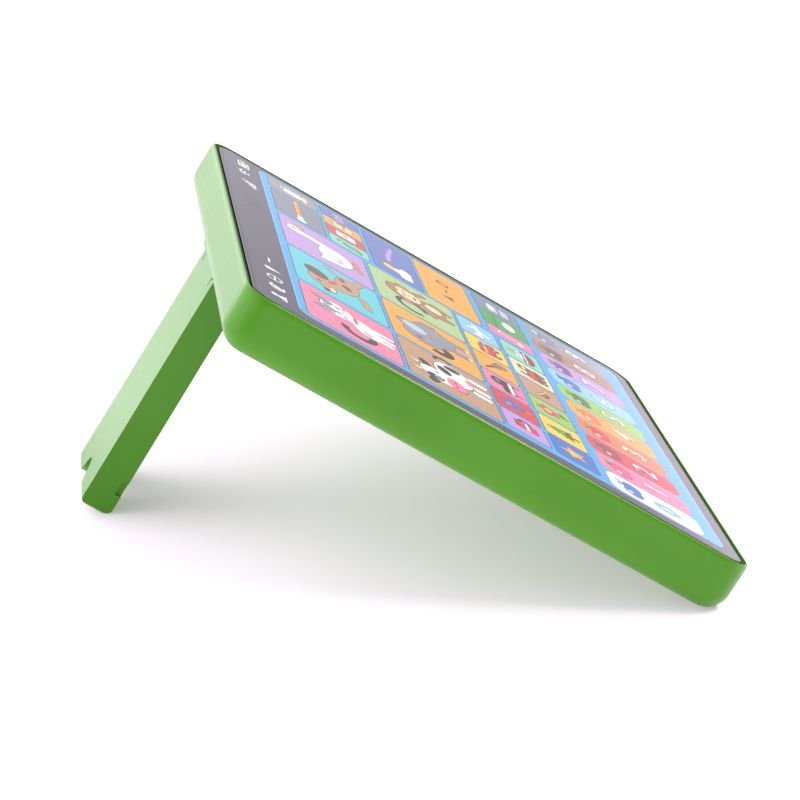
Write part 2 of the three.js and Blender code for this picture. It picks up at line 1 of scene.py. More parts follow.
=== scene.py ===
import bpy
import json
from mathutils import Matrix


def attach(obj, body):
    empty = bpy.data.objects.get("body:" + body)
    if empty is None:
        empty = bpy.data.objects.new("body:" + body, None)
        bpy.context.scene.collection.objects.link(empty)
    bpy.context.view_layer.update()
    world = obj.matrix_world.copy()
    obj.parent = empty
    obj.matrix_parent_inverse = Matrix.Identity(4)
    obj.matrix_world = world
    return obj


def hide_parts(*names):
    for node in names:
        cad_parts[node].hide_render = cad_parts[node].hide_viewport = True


bl_info = {
    "name": "Toy Learning Tablet",
    "version": (1, 0, 0),
    "blender": (4, 5, 0),
    "location": "3D View > Sidebar > Toy Tablet",
    "description": "Builds a child's learning tablet standing on its fold-out leg",
    "category": "Add Mesh",
}

import json
from contextlib import contextmanager
from math import atan2, cos, pi, radians, sin

import bmesh
import bpy
from bpy.props import FloatProperty, FloatVectorProperty, PointerProperty
from bpy.types import Operator, Panel, PropertyGroup
from mathutils import Matrix, Vector

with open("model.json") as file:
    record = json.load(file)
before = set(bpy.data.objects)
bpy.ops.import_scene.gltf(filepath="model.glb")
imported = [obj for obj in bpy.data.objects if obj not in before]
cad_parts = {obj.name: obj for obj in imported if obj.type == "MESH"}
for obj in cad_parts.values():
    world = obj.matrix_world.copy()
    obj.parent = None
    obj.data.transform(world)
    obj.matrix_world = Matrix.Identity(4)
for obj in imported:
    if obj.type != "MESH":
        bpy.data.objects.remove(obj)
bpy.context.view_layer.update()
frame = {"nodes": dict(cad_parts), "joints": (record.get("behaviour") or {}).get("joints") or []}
JOINTS = {joint["name"]: joint for joint in frame["joints"]}

# ---------- the tablet's own frame: X right, Y up the screen, Z out of it, z = 0 on the back ----------
MM = 0.001
ACROSS = Vector((1, 0, 0))
NORMAL = -Vector(JOINTS["battery_cover_lift"]["axis"]).normalized()
UPWARD = NORMAL.cross(ACROSS).normalized()
HINGE = Vector(JOINTS["leg_hinge"]["pos_m"])
PIVOT_Y = 97.35 * MM
PIVOT_Z = 6.8 * MM
TURN = Matrix((ACROSS, UPWARD, NORMAL)).transposed().to_4x4()
TABLET = Matrix.Translation(HINGE - TURN @ Vector((0, PIVOT_Y, PIVOT_Z))) @ TURN

# ---------- sizes of the pieces, in metres ----------
NEAR = 0.001 * MM
WALL = 2.4 * MM
LEDGE_Z = 16.1 * MM
GAP = 0.3 * MM
RECESS_HALF_X = 27.5 * MM
RECESS_LOW_Y = -14.25 * MM
RECESS_HIGH_Y = 104.25 * MM
RECESS_TOP_Z = 13.7 * MM
BAY_HALF_X = 27 * MM
BAY_LOW_Y = -64.5 * MM
BAY_HIGH_Y = -28.5 * MM
BAY_TOP_Z = 13.6 * MM
DOOR_HALF_X = 31 * MM
DOOR_LOW_Y = -74 * MM
DOOR_HIGH_Y = -25.5 * MM
DOOR_SCREW_Y = -69.5 * MM
REBATE_Z = 2.4 * MM
RIM_DROP = 2.4 * MM
RIM_ROUND = 0.9 * MM
RIM_STEPS = 7
SCORE_WIDTH = 0.3 * MM
SCORE_DEPTH = 0.25 * MM
RIB = 1.5 * MM
SOCKET_RADIUS = 2.7 * MM
SOCKET_REACH = 29.1 * MM
PIN_RADIUS = 2.4 * MM
PIN_REACH = 1.8 * MM
LEG_WALL = 2.2 * MM
LEG_POCKETS = [start * MM for start in (-89, -64, -39, -14)]
LEG_POCKET_LENGTH = 23.4 * MM
SPEAKER = Vector((-76, 58, 0)) * MM
SPEAKER_BOSS_X = 25.5 * MM
GRILLE_RINGS = ((0, 1), (6 * MM, 6), (12 * MM, 12))
GRILLE_HOLE = 1.5 * MM
SWITCH = Vector((76, 82, 0)) * MM
SWITCH_BOSS_X = 17 * MM
KNOB_OFFSET = 3 * MM
HEAD_BORE = 2.9 * MM
SHANK_BORE = 1.7 * MM
CASE_SCREWS = [(x * MM, y * MM) for y in (96, 0, -96) for x in (-108, 108)]
BOARD_POSTS = [(x * MM, y * MM) for x, y in ((45, 43), (95, 43), (95, -9))]
CELL_HALF = 21.65 * MM
CELL_RADIUS = 5.2 * MM
CELL_PITCH = 11.4 * MM
CELL_Z = 8.1 * MM
DOOR_LOW_Z = 0.2 * MM
DOOR_TOP_Z = 2.1 * MM
SHEET_HALF = Vector((119.7, 106.7)) * MM
SHEET_TOP_Z = 23 * MM
SHEET_LOW_Z = 21.5 * MM
BORDER_Z = 22.4 * MM
FILM_BED_Z = 19.4 * MM


# ---------- settings that a user may change ----------
def length(name, description, default):
    return FloatProperty(name=name, description=description, default=default, unit="LENGTH", precision=4)


def colour(name, description, default):
    return FloatVectorProperty(name=name, description=description, default=default, subtype="COLOR", size=3,
                               min=0, max=1)


class TabletSizes(PropertyGroup):
    width: length("Width", "Across the screen", 246 * MM)
    height: length("Height", "Up the screen", 220 * MM)
    depth: length("Depth", "From the back to the rim", 23.2 * MM)
    corner: length("Corner", "Radius of the four corners", 11 * MM)
    back_round: length("Back round", "Radius between back and walls", 9.6 * MM)
    rim: length("Rim", "Width of the rim round the screen", 1.2 * MM)
    leg_width: length("Leg width", "Across the fold-out leg", 54 * MM)
    leg_thick: length("Leg thickness", "Through the fold-out leg", 13.2 * MM)
    leg_reach: length("Leg reach", "From the back to the leg's tip", 104 * MM)


class TabletColours(PropertyGroup):
    shell: colour("Tray", "Moulded tray, leg and door", (0.068, 0.272, 0.0015))
    surround: colour("Surround", "Plate behind the screen", (0.012, 0.012, 0.015))
    # Near-black ink of the screen sheet: painted shade of the gap between the rim and the screen, on the
    # sheet's edge and round its print.
    screen_edge: colour("Screen edge", "Black line round the printed sheet", (0.004, 0.004, 0.005))


# ---------- modelling helpers ----------
def only(obj):
    """Makes obj the one selected and active object."""
    bpy.ops.object.select_all(action="DESELECT")
    obj.select_set(True)
    bpy.context.view_layer.objects.active = obj


@contextmanager
def editing(obj, elements="VERT"):
    only(obj)
    bpy.ops.object.mode_set(mode="EDIT")
    bpy.ops.mesh.select_mode(type=elements)
    bpy.ops.mesh.select_all(action="DESELECT")
    yield
    bpy.ops.object.mode_set(mode="OBJECT")


def pick(obj, elements, test):
    """Selects the edges or faces of obj that pass test, in edit mode."""
    mesh = bmesh.from_edit_mesh(obj.data)
    bpy.ops.mesh.select_all(action="DESELECT")
    for item in getattr(mesh, elements):
        if test(item):
            item.select_set(True)
    mesh.select_flush_mode()
    bmesh.update_edit_mesh(obj.data)


def settle(name):
    """Names the fresh shape and moves its place into its mesh."""
    obj = bpy.context.object
    obj.name = name
    bpy.ops.object.transform_apply(location=True, rotation=True, scale=True)
    return obj


def block(name, low, high):
    """A box between two corners, in the tablet's frame."""
    low, high = Vector(low), Vector(high)
    bpy.ops.object.select_all(action="DESELECT")
    bpy.ops.mesh.primitive_cube_add(size=1, location=(low + high) / 2, scale=high - low)
    return settle(name)


def rod(name, x, y, radius, z0, z1, sides=32):
    """A round bar that stands on the tablet's back."""
    bpy.ops.object.select_all(action="DESELECT")
    bpy.ops.mesh.primitive_cylinder_add(vertices=sides, radius=radius, depth=z1 - z0,
                                        location=(x, y, (z0 + z1) / 2))
    return settle(name)


def rod_across(name, y, z, radius, x0, x1, sides=32):
    """A round bar that lies along the tablet's width."""
    bpy.ops.object.select_all(action="DESELECT")
    bpy.ops.mesh.primitive_cylinder_add(vertices=sides, radius=radius, depth=x1 - x0,
                                        location=((x0 + x1) / 2, y, z), rotation=(0, pi / 2, 0))
    return settle(name)


def bevel(obj, test, offset, segments):
    with editing(obj, "EDGE"):
        pick(obj, "edges", test)
        bpy.ops.mesh.bevel(offset=offset, segments=segments, profile=0.5, affect="EDGES",
                           clamp_overlap=False)


def sink(distance):
    """Extrudes the selected faces along z."""
    bpy.ops.mesh.extrude_region_move(TRANSFORM_OT_translate={"value": (0, 0, distance)})


def combine(obj, other, operation):
    """Joins other to obj or cuts it out of obj, and removes other."""
    only(obj)
    step = obj.modifiers.new("Combine", "BOOLEAN")
    step.operation = operation
    step.solver = "EXACT"
    step.object = other
    bpy.ops.object.modifier_apply(modifier=step.name)
    bpy.data.objects.remove(other, do_unlink=True)


def cut(obj, *others):
    for other in others:
        combine(obj, other, "DIFFERENCE")


def fuse(obj, *others):
    for other in others:
        combine(obj, other, "UNION")


def shade(obj, angle=35):
    """Smooth rounds between flat faces that stay flat."""
    only(obj)
    bpy.ops.object.shade_smooth_by_angle(angle=radians(angle))
    step = obj.modifiers.new("Flat faces", "WEIGHTED_NORMAL")
    step.keep_sharp = True
    bpy.ops.object.modifier_apply(modifier=step.name)


def soften(obj, width, segments=2, angle=50):
    """Rounds every sharp edge a little."""
    only(obj)
    step = obj.modifiers.new("Soften", "BEVEL")
    step.width = width
    step.segments = segments
    step.limit_method = "ANGLE"
    step.angle_limit = radians(angle)
    step.use_clamp_overlap = True
    bpy.ops.object.modifier_apply(modifier=step.name)


def set_down(obj, body="tablet"):
    """Leans a finished piece back with the tablet and lets it ride on its body."""
    only(obj)
    obj.matrix_world = TABLET
    bpy.ops.object.transform_apply(location=True, rotation=True, scale=True)
    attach(obj, body)
    return obj


def upright(edge):
    """Test for edges that run along z."""
    a, b = (v.co for v in edge.verts)
    return abs(a.x - b.x) < NEAR and abs(a.y - b.y) < NEAR


def edge_at(axis, value):
    """Test for edges that lie in the plane axis = value."""
    return lambda edge: all(abs(v.co[axis] - value) < NEAR for v in edge.verts)


def face_at(z):
    """Test for faces that look up from the plane z."""
    return lambda face: face.normal.z > 0.9 and abs(face.calc_center_median().z - z) < 10 * NEAR


# ---------- materials ----------
def new_material(name, base, roughness, metallic=0.0, coat=0.0):
    material = bpy.data.materials.new(name)
    material.use_nodes = True
    shader = material.node_tree.nodes["Principled BSDF"]
    shader.inputs["Base Color"].default_value = (*base, 1)
    shader.inputs["Roughness"].default_value = roughness
    shader.inputs["Metallic"].default_value = metallic
    shader.inputs["Coat Weight"].default_value = coat
    shader.inputs["Coat Roughness"].default_value = 0.08
    material.diffuse_color = (*base, 1)
    return material


def node(material, kind, **inputs):
    """Adds a node and fills its named inputs with values or with other nodes' outputs."""
    made = material.node_tree.nodes.new(kind)
    for key, value in inputs.items():
        socket = made.inputs[key.replace("_", " ")]
        if hasattr(value, "is_output"):
            material.node_tree.links.new(value, socket)
        else:
            socket.default_value = value
    return made


def noise_on(material, scale, detail=3.0, roughness=0.55):
    place = node(material, "ShaderNodeTexCoord").outputs["Object"]
    return node(material, "ShaderNodeTexNoise", Vector=place, Scale=scale, Detail=detail,
                Roughness=roughness).outputs["Fac"]


def blend_colours(material, factor, first, second):
    ramp = material.node_tree.nodes.new("ShaderNodeValToRGB")
    ramp.color_ramp.elements[0].position = 0.35
    ramp.color_ramp.elements[1].position = 0.65
    ramp.color_ramp.elements[0].color = (*first, 1)
    ramp.color_ramp.elements[1].color = (*second, 1)
    material.node_tree.links.new(factor, ramp.inputs["Fac"])
    return ramp.outputs["Color"]


def spread(material, factor, low, high):
    return node(material, "ShaderNodeMapRange", Value=factor, To_Min=low, To_Max=high).outputs["Result"]


def wire_to(material, output, socket):
    shader = material.node_tree.nodes["Principled BSDF"]
    material.node_tree.links.new(output, shader.inputs[socket])


def grain(material, scale, strength, distance):
    bump = node(material, "ShaderNodeBump", Height=noise_on(material, scale), Strength=strength,
                Distance=distance)
    wire_to(material, bump.outputs["Normal"], "Normal")


def tinted(base, amount):
    return tuple(min(1.0, channel * amount) for channel in base)


def moulded_plastic(name, base, roughness, coat):
    """Injection-moulded plastic: faint flow marks in the colour, fine handling marks in the gloss."""
    material = new_material(name, base, roughness, coat=coat)
    material.node_tree.nodes["Principled BSDF"].inputs["Specular IOR Level"].default_value = 0.3
    flow = noise_on(material, 14, 2)
    wire_to(material, blend_colours(material, flow, tinted(base, 0.94), tinted(base, 1.05)), "Base Color")
    marks = noise_on(material, 420, 5)
    wire_to(material, spread(material, marks, roughness * 0.8, roughness * 1.2), "Roughness")
    grain(material, 1600, 0.06, 0.00005)
    return material


def brushed_metal(name, base, roughness):
    material = new_material(name, base, roughness, metallic=1.0)
    marks = noise_on(material, 900, 4)
    wire_to(material, spread(material, marks, roughness * 0.7, roughness * 1.4), "Roughness")
    wear = noise_on(material, 120)
    wire_to(material, blend_colours(material, wear, tinted(base, 0.85), base), "Base Color")
    return material


def ink(name, base):
    """Printing ink under the clear gloss face of the screen sheet."""
    full_name = "ink_" + name
    if full_name in bpy.data.materials:
        return bpy.data.materials[full_name]
    material = new_material(full_name, base, 0.1, coat=0.0)
    dots = noise_on(material, 1400, 2)
    wire_to(material, blend_colours(material, dots, tinted(base, 0.93), tinted(base, 1.06)), "Base Color")
    return material


def dress(obj, *materials):
    obj.data.materials.clear()
    for material in materials:
        obj.data.materials.append(material)


# ---------- finishes ----------
def circuit_board(name):
    """Green solder mask over copper tracks that show as paler lines."""
    material = new_material(name, (0.02, 0.12, 0.04), 0.35)
    place = node(material, "ShaderNodeTexCoord").outputs["Object"]
    tracks = node(material, "ShaderNodeTexBrick", Vector=place, Scale=260.0, Mortar_Size=0.012,
                  Color1=(0.02, 0.12, 0.04, 1), Color2=(0.025, 0.14, 0.05, 1), Mortar=(0.05, 0.24, 0.08, 1))
    wire_to(material, tracks.outputs["Color"], "Base Color")
    grain(material, 700, 0.05, 0.0001)
    return material


def pressed_paper(name):
    """Dark, matt, fibrous paper."""
    material = new_material(name, (0.02, 0.02, 0.022), 0.85)
    fibres = noise_on(material, 900, 6)
    pulp = blend_colours(material, fibres, (0.012, 0.012, 0.014), (0.04, 0.04, 0.042))
    wire_to(material, pulp, "Base Color")
    grain(material, 1100, 0.4, 0.0002)
    return material


def numbered(stem, count):
    """Names of a row of like nodes, counted from 1."""
    return [f"{stem}_{index + 1}" for index in range(count)]


def make_hardware_finishes():
    """Makes the finishes of the inner parts and says which nodes of the frame wear each one."""
    metal_nodes = numbered("contact_plate", 3) + numbered("contact_spring", 3)
    screws = ["door_screw"] + numbered("case_screw", 6) + numbered("board_screw", 3)
    screws += numbered("switch_screw", 2) + numbered("speaker_screw", 2)
    chips = ["sound_chip", "amplifier_chip", "switch_body"]
    films = ["touch_sheet_lower", "touch_sheet_upper", "touch_spacer", "touch_tail"]
    return (
        (brushed_metal("nickel", (0.72, 0.71, 0.68), 0.28), metal_nodes),
        (brushed_metal("zinc", (0.6, 0.61, 0.64), 0.35), screws),
        (brushed_metal("speaker_metal", (0.45, 0.46, 0.48), 0.4), ["speaker_basket"]),
        (moulded_plastic("ferrite", (0.03, 0.03, 0.033), 0.6, 0.0), ["speaker_magnet"]),
        (moulded_plastic("clamp_plastic", (0.02, 0.02, 0.022), 0.45, 0.0), ["speaker_clamp"]),
        (pressed_paper("cone_paper"), ["speaker_cone"]),
        (circuit_board("board_mask"), ["main_board", "switch_board"]),
        (moulded_plastic("chip_resin", (0.015, 0.015, 0.017), 0.5, 0.0), chips),
        (moulded_plastic("socket_nylon", (0.75, 0.72, 0.62), 0.5, 0.0), ["tail_socket"]),
        (moulded_plastic("shrink_sleeve", (0.012, 0.02, 0.09), 0.35, 0.2), numbered("capacitor", 2)),
        (moulded_plastic("red_insulation", (0.5, 0.01, 0.01), 0.45, 0.0), ["speaker_wire_1"]),
        (moulded_plastic("black_insulation", (0.012, 0.012, 0.014), 0.45, 0.0), ["speaker_wire_2"]),
        (moulded_plastic("film", (0.7, 0.68, 0.6), 0.4, 0.0), films),
    )


class TABLET_OT_finishes(Operator):
    """Plastics and metals, and the finish of every part kept from the frame"""

    bl_idname = "toy_tablet.finishes"
    bl_label = "Finishes"

    def execute(self, context):
        colours = context.scene.tablet_colours
        moulded_plastic("tray_plastic", colours.shell, 0.3, 0.1)
        moulded_plastic("surround_plastic", colours.surround, 0.4, 0.0)
        moulded_plastic("cell_sleeve", (0.02, 0.09, 0.26), 0.3, 0.2)
        for material, names in make_hardware_finishes():
            for name in names:
                dress(frame["nodes"][name], material)
        return {"FINISHED"}


# ---------- tray ----------
def tray_blank(sizes):
    """Outer form: rounded corners, large round along the back, stepped well for the screen."""
    half_x, half_y = sizes.width / 2, sizes.height / 2
    tray = block("tray", (-half_x, -half_y, 0), (half_x, half_y, sizes.depth - RIM_DROP))
    bevel(tray, upright, sizes.corner, 14)
    bevel(tray, edge_at(2, 0), sizes.back_round, 14)
    with editing(tray, "FACE"):
        pick(tray, "faces", face_at(sizes.depth - RIM_DROP))
        for step in range(RIM_STEPS):
            start, end = (pi / 2 * (step + k) / RIM_STEPS for k in (0, 1))
            bpy.ops.mesh.inset(thickness=RIM_ROUND * (cos(start) - cos(end)))
            bpy.ops.transform.translate(value=(0, 0, RIM_DROP * (sin(end) - sin(start))))
        bpy.ops.mesh.inset(thickness=sizes.rim - RIM_ROUND)
        sink(LEDGE_Z - sizes.depth)
        bpy.ops.mesh.inset(thickness=WALL - sizes.rim)
        sink(sizes.back_round - LEDGE_Z)
        bpy.ops.mesh.inset(thickness=(sizes.back_round - WALL) * 0.5)
        bpy.ops.transform.translate(value=(0, 0, (WALL - sizes.back_round) * 0.75))
        bpy.ops.mesh.inset(thickness=(sizes.back_round - WALL) * 0.5)
        bpy.ops.transform.translate(value=(0, 0, (WALL - sizes.back_round) * 0.25))
    return tray


def score_end_wall(tray, sizes):
    """Fine witness lines on the top wall, where the flat part meets the corners."""
    wall = sizes.height / 2
    for side in (-1, 1):
        x = side * (sizes.width / 2 - sizes.corner - MM)
        low = Vector((x - SCORE_WIDTH / 2, wall - SCORE_DEPTH, 5 * MM))
        high = Vector((x + SCORE_WIDTH / 2, wall + MM, 22.2 * MM))
        cut(tray, block("score", low, high))


def recess_block(grow):
    """The room that the folded leg lies in, grown by its wall."""
    return block("recess", (-RECESS_HALF_X - grow, RECESS_LOW_Y - grow, -MM),
                 (RECESS_HALF_X + grow, RECESS_HIGH_Y + grow, RECESS_TOP_Z + grow))


def bay_block(grow):
    """The room for the cells, grown by its wall."""
    return block("bay", (-BAY_HALF_X - grow, BAY_LOW_Y - grow, -MM),
                 (BAY_HALF_X + grow, BAY_HIGH_Y + grow, BAY_TOP_Z + grow))


def rebate_block(grow):
    """The shallow step that the battery door lies in, grown by its wall."""
    side = GAP + grow
    return block("rebate", (-DOOR_HALF_X - side, DOOR_LOW_Y - side, -MM),
                 (DOOR_HALF_X + side, DOOR_HIGH_Y + side, REBATE_Z + grow))


def raise_bosses(tray):
    for x, y in CASE_SCREWS:
        fuse(tray, rod("boss", x, y, 4.4 * MM, MM, 8 * MM))
    seat = rod("seat", SPEAKER.x, SPEAKER.y, 22.2 * MM, MM, 5 * MM, 64)
    cut(seat, rod("hollow", SPEAKER.x, SPEAKER.y, 20.5 * MM, -MM, 6 * MM, 64))
    fuse(tray, seat)
    for side in (-1, 1):
        fuse(tray, rod("boss", SPEAKER.x + side * SPEAKER_BOSS_X, SPEAKER.y, 3.2 * MM, MM, 8.2 * MM))
        fuse(tray, rod("boss", SWITCH.x + side * SWITCH_BOSS_X, SWITCH.y, 3 * MM, MM, 9 * MM))
    pad = Vector((14, 6, 0)) * MM
    fuse(tray, block("pad", SWITCH - pad + Vector((0, 0, MM)), SWITCH + pad + Vector((0, 0, 3.2 * MM))))
    fuse(tray, rod("boss", 0, DOOR_SCREW_Y, 3.6 * MM, 2 * MM, 12 * MM))


def drill_holes(tray):
    for x, y in CASE_SCREWS:
        cut(tray, rod("bore", x, y, HEAD_BORE, -MM, 5.8 * MM))
        cut(tray, rod("bore", x, y, SHANK_BORE, 5 * MM, 9 * MM, 16))
    for side in (-1, 1):
        cut(tray, rod("bore", SPEAKER.x + side * SPEAKER_BOSS_X, SPEAKER.y, 1.5 * MM, 3 * MM, 9 * MM, 16))
        cut(tray, rod("bore", SWITCH.x + side * SWITCH_BOSS_X, SWITCH.y, 1.3 * MM, 4 * MM, 10 * MM, 16))
    cut(tray, rod("bore", 0, DOOR_SCREW_Y, 1.6 * MM, MM, 10.5 * MM, 16))
    for ring, count in GRILLE_RINGS:
        for i in range(count):
            angle = 2 * pi * i / count
            x = SPEAKER.x + ring * cos(angle)
            y = SPEAKER.y + ring * sin(angle)
            cut(tray, rod("grille", x, y, GRILLE_HOLE, -MM, WALL + MM, 20))


def open_switch_slot(tray):
    dish = Vector((9, 4, 0)) * MM
    slot = Vector((6, 2.1, 0)) * MM
    below = Vector((0, 0, -MM))
    cut(tray, block("dish", SWITCH - dish + below, SWITCH + dish + Vector((0, 0, 1.2 * MM))))
    cut(tray, block("slot", SWITCH - slot, SWITCH + slot + Vector((0, 0, 4 * MM))))


class TABLET_OT_tray(Operator):
    """Green tray with its leg recess, battery bay, bosses and speaker holes"""

    bl_idname = "toy_tablet.tray"
    bl_label = "Tray"

    def execute(self, context):
        sizes = context.scene.tablet_sizes
        tray = tray_blank(sizes)
        score_end_wall(tray, sizes)
        fuse(tray, recess_block(RIB), bay_block(RIB), rebate_block(RIB))
        cut(tray, block("below", Vector((-50, -80, -10)) * MM, Vector((50, 120, 0)) * MM))
        raise_bosses(tray)
        cut(tray, recess_block(0), bay_block(0), rebate_block(0))
        cut(tray, rod_across("sockets", PIVOT_Y, PIVOT_Z, SOCKET_RADIUS, -SOCKET_REACH, SOCKET_REACH))
        open_switch_slot(tray)
        drill_holes(tray)
        shade(tray, 30)
        dress(tray, bpy.data.materials["tray_plastic"])
        set_down(tray, "tablet")
        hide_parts("housing")
        return {"FINISHED"}


# ---------- leg ----------
def notch_cutter(reach, top, thick):
    """A round-headed slot with flared sides, cut through the leg's end."""
    head = 4.5 * MM
    flare = 9.5 * MM
    depth = 10 * MM
    cutter = rod("notch", 0, depth - head, head, 0, thick + 2 * MM, 40)
    fuse(cutter, block("shaft", (-head, -MM, 0), (head, depth - head, thick + 2 * MM)))
    for side in (-1, 1):
        low_x, high_x = sorted((side * (head - 0.01 * MM), side * (head + flare)))
        wedge = block("wedge", (low_x, -MM, 0), (high_x, flare, thick + 2 * MM))
        cut(wedge, rod("round", side * (head + flare), flare, flare, -MM, thick + 3 * MM, 64))
        fuse(cutter, wedge)
    only(cutter)
    cutter.matrix_world = Matrix.Translation((0, top + MM, -reach)) @ Matrix.Rotation(pi / 2, 4, "X")
    bpy.ops.object.transform_apply(location=True, rotation=True, scale=True)
    return cutter


def leg_blank(half, low, top, crown, tip):
    """The leg's bar: half round at the hinge, with eased edges at its tip."""
    leg = block("leg_moulding", (-half, low, tip), (half, top, crown))

    def across(y, z):
        return lambda e: all(abs(v.co.y - y) < NEAR and abs(v.co.z - z) < NEAR for v in e.verts)

    bevel(leg, lambda e: edge_at(2, crown)(e) and abs(e.verts[0].co.x - e.verts[1].co.x) > 1e-3,
          (top - low) / 2 * 0.998, 16)
    bevel(leg, across(low, tip), 3 * MM, 8)
    bevel(leg, across(top, tip), 2 * MM, 6)
    return leg


def hollow_leg(leg, half, low, top):
    """Four pockets in the inside of the leg, with ribs left between them."""
    for start in LEG_POCKETS:
        end = min(start + LEG_POCKET_LENGTH, -6 * MM)
        inner = half - LEG_WALL
        cut(leg, block("pocket", (-inner, low - MM, start), (inner, top - LEG_WALL, end)))


class TABLET_OT_leg(Operator):
    """Fold-out leg with its hinge round, slits, finger notch and ribbed inside"""

    bl_idname = "toy_tablet.leg"
    bl_label = "Leg"

    def execute(self, context):
        sizes = context.scene.tablet_sizes
        half = sizes.leg_width / 2
        top = PIVOT_Y + sizes.leg_thick / 2
        low = PIVOT_Y - sizes.leg_thick / 2
        leg = leg_blank(half, low, top, PIVOT_Z + sizes.leg_thick / 2, -sizes.leg_reach)
        hollow_leg(leg, half, low, top)
        cut(leg, notch_cutter(sizes.leg_reach, top, sizes.leg_thick))
        for side in (-1, 1):
            slit = side * (half - 7 * MM)
            cut(leg, block("slit", (slit - 0.5 * MM, low - MM, -5 * MM),
                           (slit + 0.5 * MM, top + MM, 20 * MM)))
            cut(leg, block("detent", (side * half - MM, low - MM, -95 * MM),
                           (side * half + MM, low + 2.6 * MM, -89 * MM)))
        soften(leg, 0.5 * MM, 3)
        for side in (-1, 1):
            ends = sorted((side * (half - 3 * MM), side * (half + PIN_REACH)))
            fuse(leg, rod_across("pin", PIVOT_Y, PIVOT_Z, PIN_RADIUS, *ends))
        shade(leg, 35)
        dress(leg, bpy.data.materials["tray_plastic"])
        set_down(leg, "rear_leg")
        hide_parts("leg")
        return {"FINISHED"}


# ---------- battery bay and switch ----------
def paint(obj, index, test):
    """Gives the faces that pass test the material in slot index."""
    with editing(obj, "FACE"):
        pick(obj, "faces", test)
        obj.active_material_index = index
        bpy.ops.object.material_slot_assign()


class TABLET_OT_battery_door(Operator):
    """Loose cover of the battery bay, with finger grooves and a sunk screw hole"""

    bl_idname = "toy_tablet.battery_door"
    bl_label = "Battery Door"

    def execute(self, context):
        door = block("battery_cover", (-DOOR_HALF_X, DOOR_LOW_Y, DOOR_LOW_Z),
                     (DOOR_HALF_X, DOOR_HIGH_Y, DOOR_TOP_Z))
        bevel(door, upright, 0.8 * MM, 5)
        bevel(door, edge_at(2, DOOR_LOW_Z), 0.35 * MM, 4)
        for index in range(5):
            y = DOOR_HIGH_Y - (4.5 + 2.2 * index) * MM
            cut(door, rod_across("groove", y, 0, 0.6 * MM, -9 * MM, 9 * MM, 20))
        cut(door, rod("sink", 0, DOOR_SCREW_Y, HEAD_BORE, -MM, 1.6 * MM, 40))
        cut(door, rod("bore", 0, DOOR_SCREW_Y, SHANK_BORE, MM, 3 * MM, 24))
        soften(door, 0.12 * MM, 2)
        shade(door, 35)
        dress(door, bpy.data.materials["tray_plastic"])
        set_down(door, "battery_cover")
        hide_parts("battery_door")
        return {"FINISHED"}


def cell_at(index, y, way):
    """A cell whose nub looks along +x or -x as way says, with a groove where its sleeve ends."""
    cell = rod_across(f"cell_body_{index + 1}", y, CELL_Z, CELL_RADIUS, -CELL_HALF, CELL_HALF, 48)
    for x in (-CELL_HALF, CELL_HALF):
        bevel(cell, edge_at(0, x), 0.5 * MM, 4)
    nub_ends = sorted((way * (CELL_HALF - 0.2 * MM), way * (CELL_HALF + 0.85 * MM)))
    fuse(cell, rod_across("nub", y, CELL_Z, 1.9 * MM, *nub_ends, 32))
    groove_ends = sorted((way * (CELL_HALF - 2.2 * MM), way * (CELL_HALF - 1.8 * MM)))
    groove = rod_across("groove", y, CELL_Z, 7 * MM, *groove_ends, 48)
    cut(groove, rod_across("core", y, CELL_Z, CELL_RADIUS - 0.2 * MM, -CELL_HALF, CELL_HALF, 48))
    cut(cell, groove)
    shade(cell, 35)
    dress(cell, bpy.data.materials["cell_sleeve"], bpy.data.materials["nickel"])

    def bare(face):
        along = face.calc_center_median().x * way
        return along > CELL_HALF - 2.3 * MM or along < -CELL_HALF + 0.3 * MM

    paint(cell, 1, bare)
    return cell


class TABLET_OT_cells(Operator):
    """Three small cells side by side, with their sleeves, metal ends and nubs"""

    bl_idname = "toy_tablet.cells"
    bl_label = "Cells"

    def execute(self, context):
        for index in range(3):
            y = (BAY_LOW_Y + BAY_HIGH_Y) / 2 + (index - 1) * CELL_PITCH
            cell = cell_at(index, y, 1 if index % 2 == 0 else -1)
            set_down(cell, "tablet")
            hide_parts(f"cell_{index + 1}")
        return {"FINISHED"}


class TABLET_OT_switch_knob(Operator):
    """Black slider knob with three grip grooves, on the shoe that works the switch"""

    bl_idname = "toy_tablet.switch_knob"
    bl_label = "Switch Knob"

    def execute(self, context):
        middle = Vector((SWITCH.x - KNOB_OFFSET, SWITCH.y, 0))

        def part(name, low, high):
            return block(name, middle + Vector(low) * MM, middle + Vector(high) * MM)

        knob = part("power_knob", (-2.6, -1.7, 0.3), (2.6, 1.7, 4))
        bevel(knob, lambda e: upright(e) or edge_at(2, 0.3 * MM)(e), 0.4 * MM, 4)
        for offset in (-1.3, 0, 1.3):
            cut(knob, part("groove", (offset - 0.25, -3, 0), (offset + 0.25, 3, 0.8)))
        shoe = part("shoe", (-9.4, -3.6, 3.5), (9.4, 3.6, 4.5))
        bevel(shoe, upright, 0.8 * MM, 4)
        fuse(knob, shoe)
        shade(knob, 35)
        dress(knob, bpy.data.materials["surround_plastic"])
        set_down(knob, "power_slider")
        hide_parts("switch_knob")
        return {"FINISHED"}


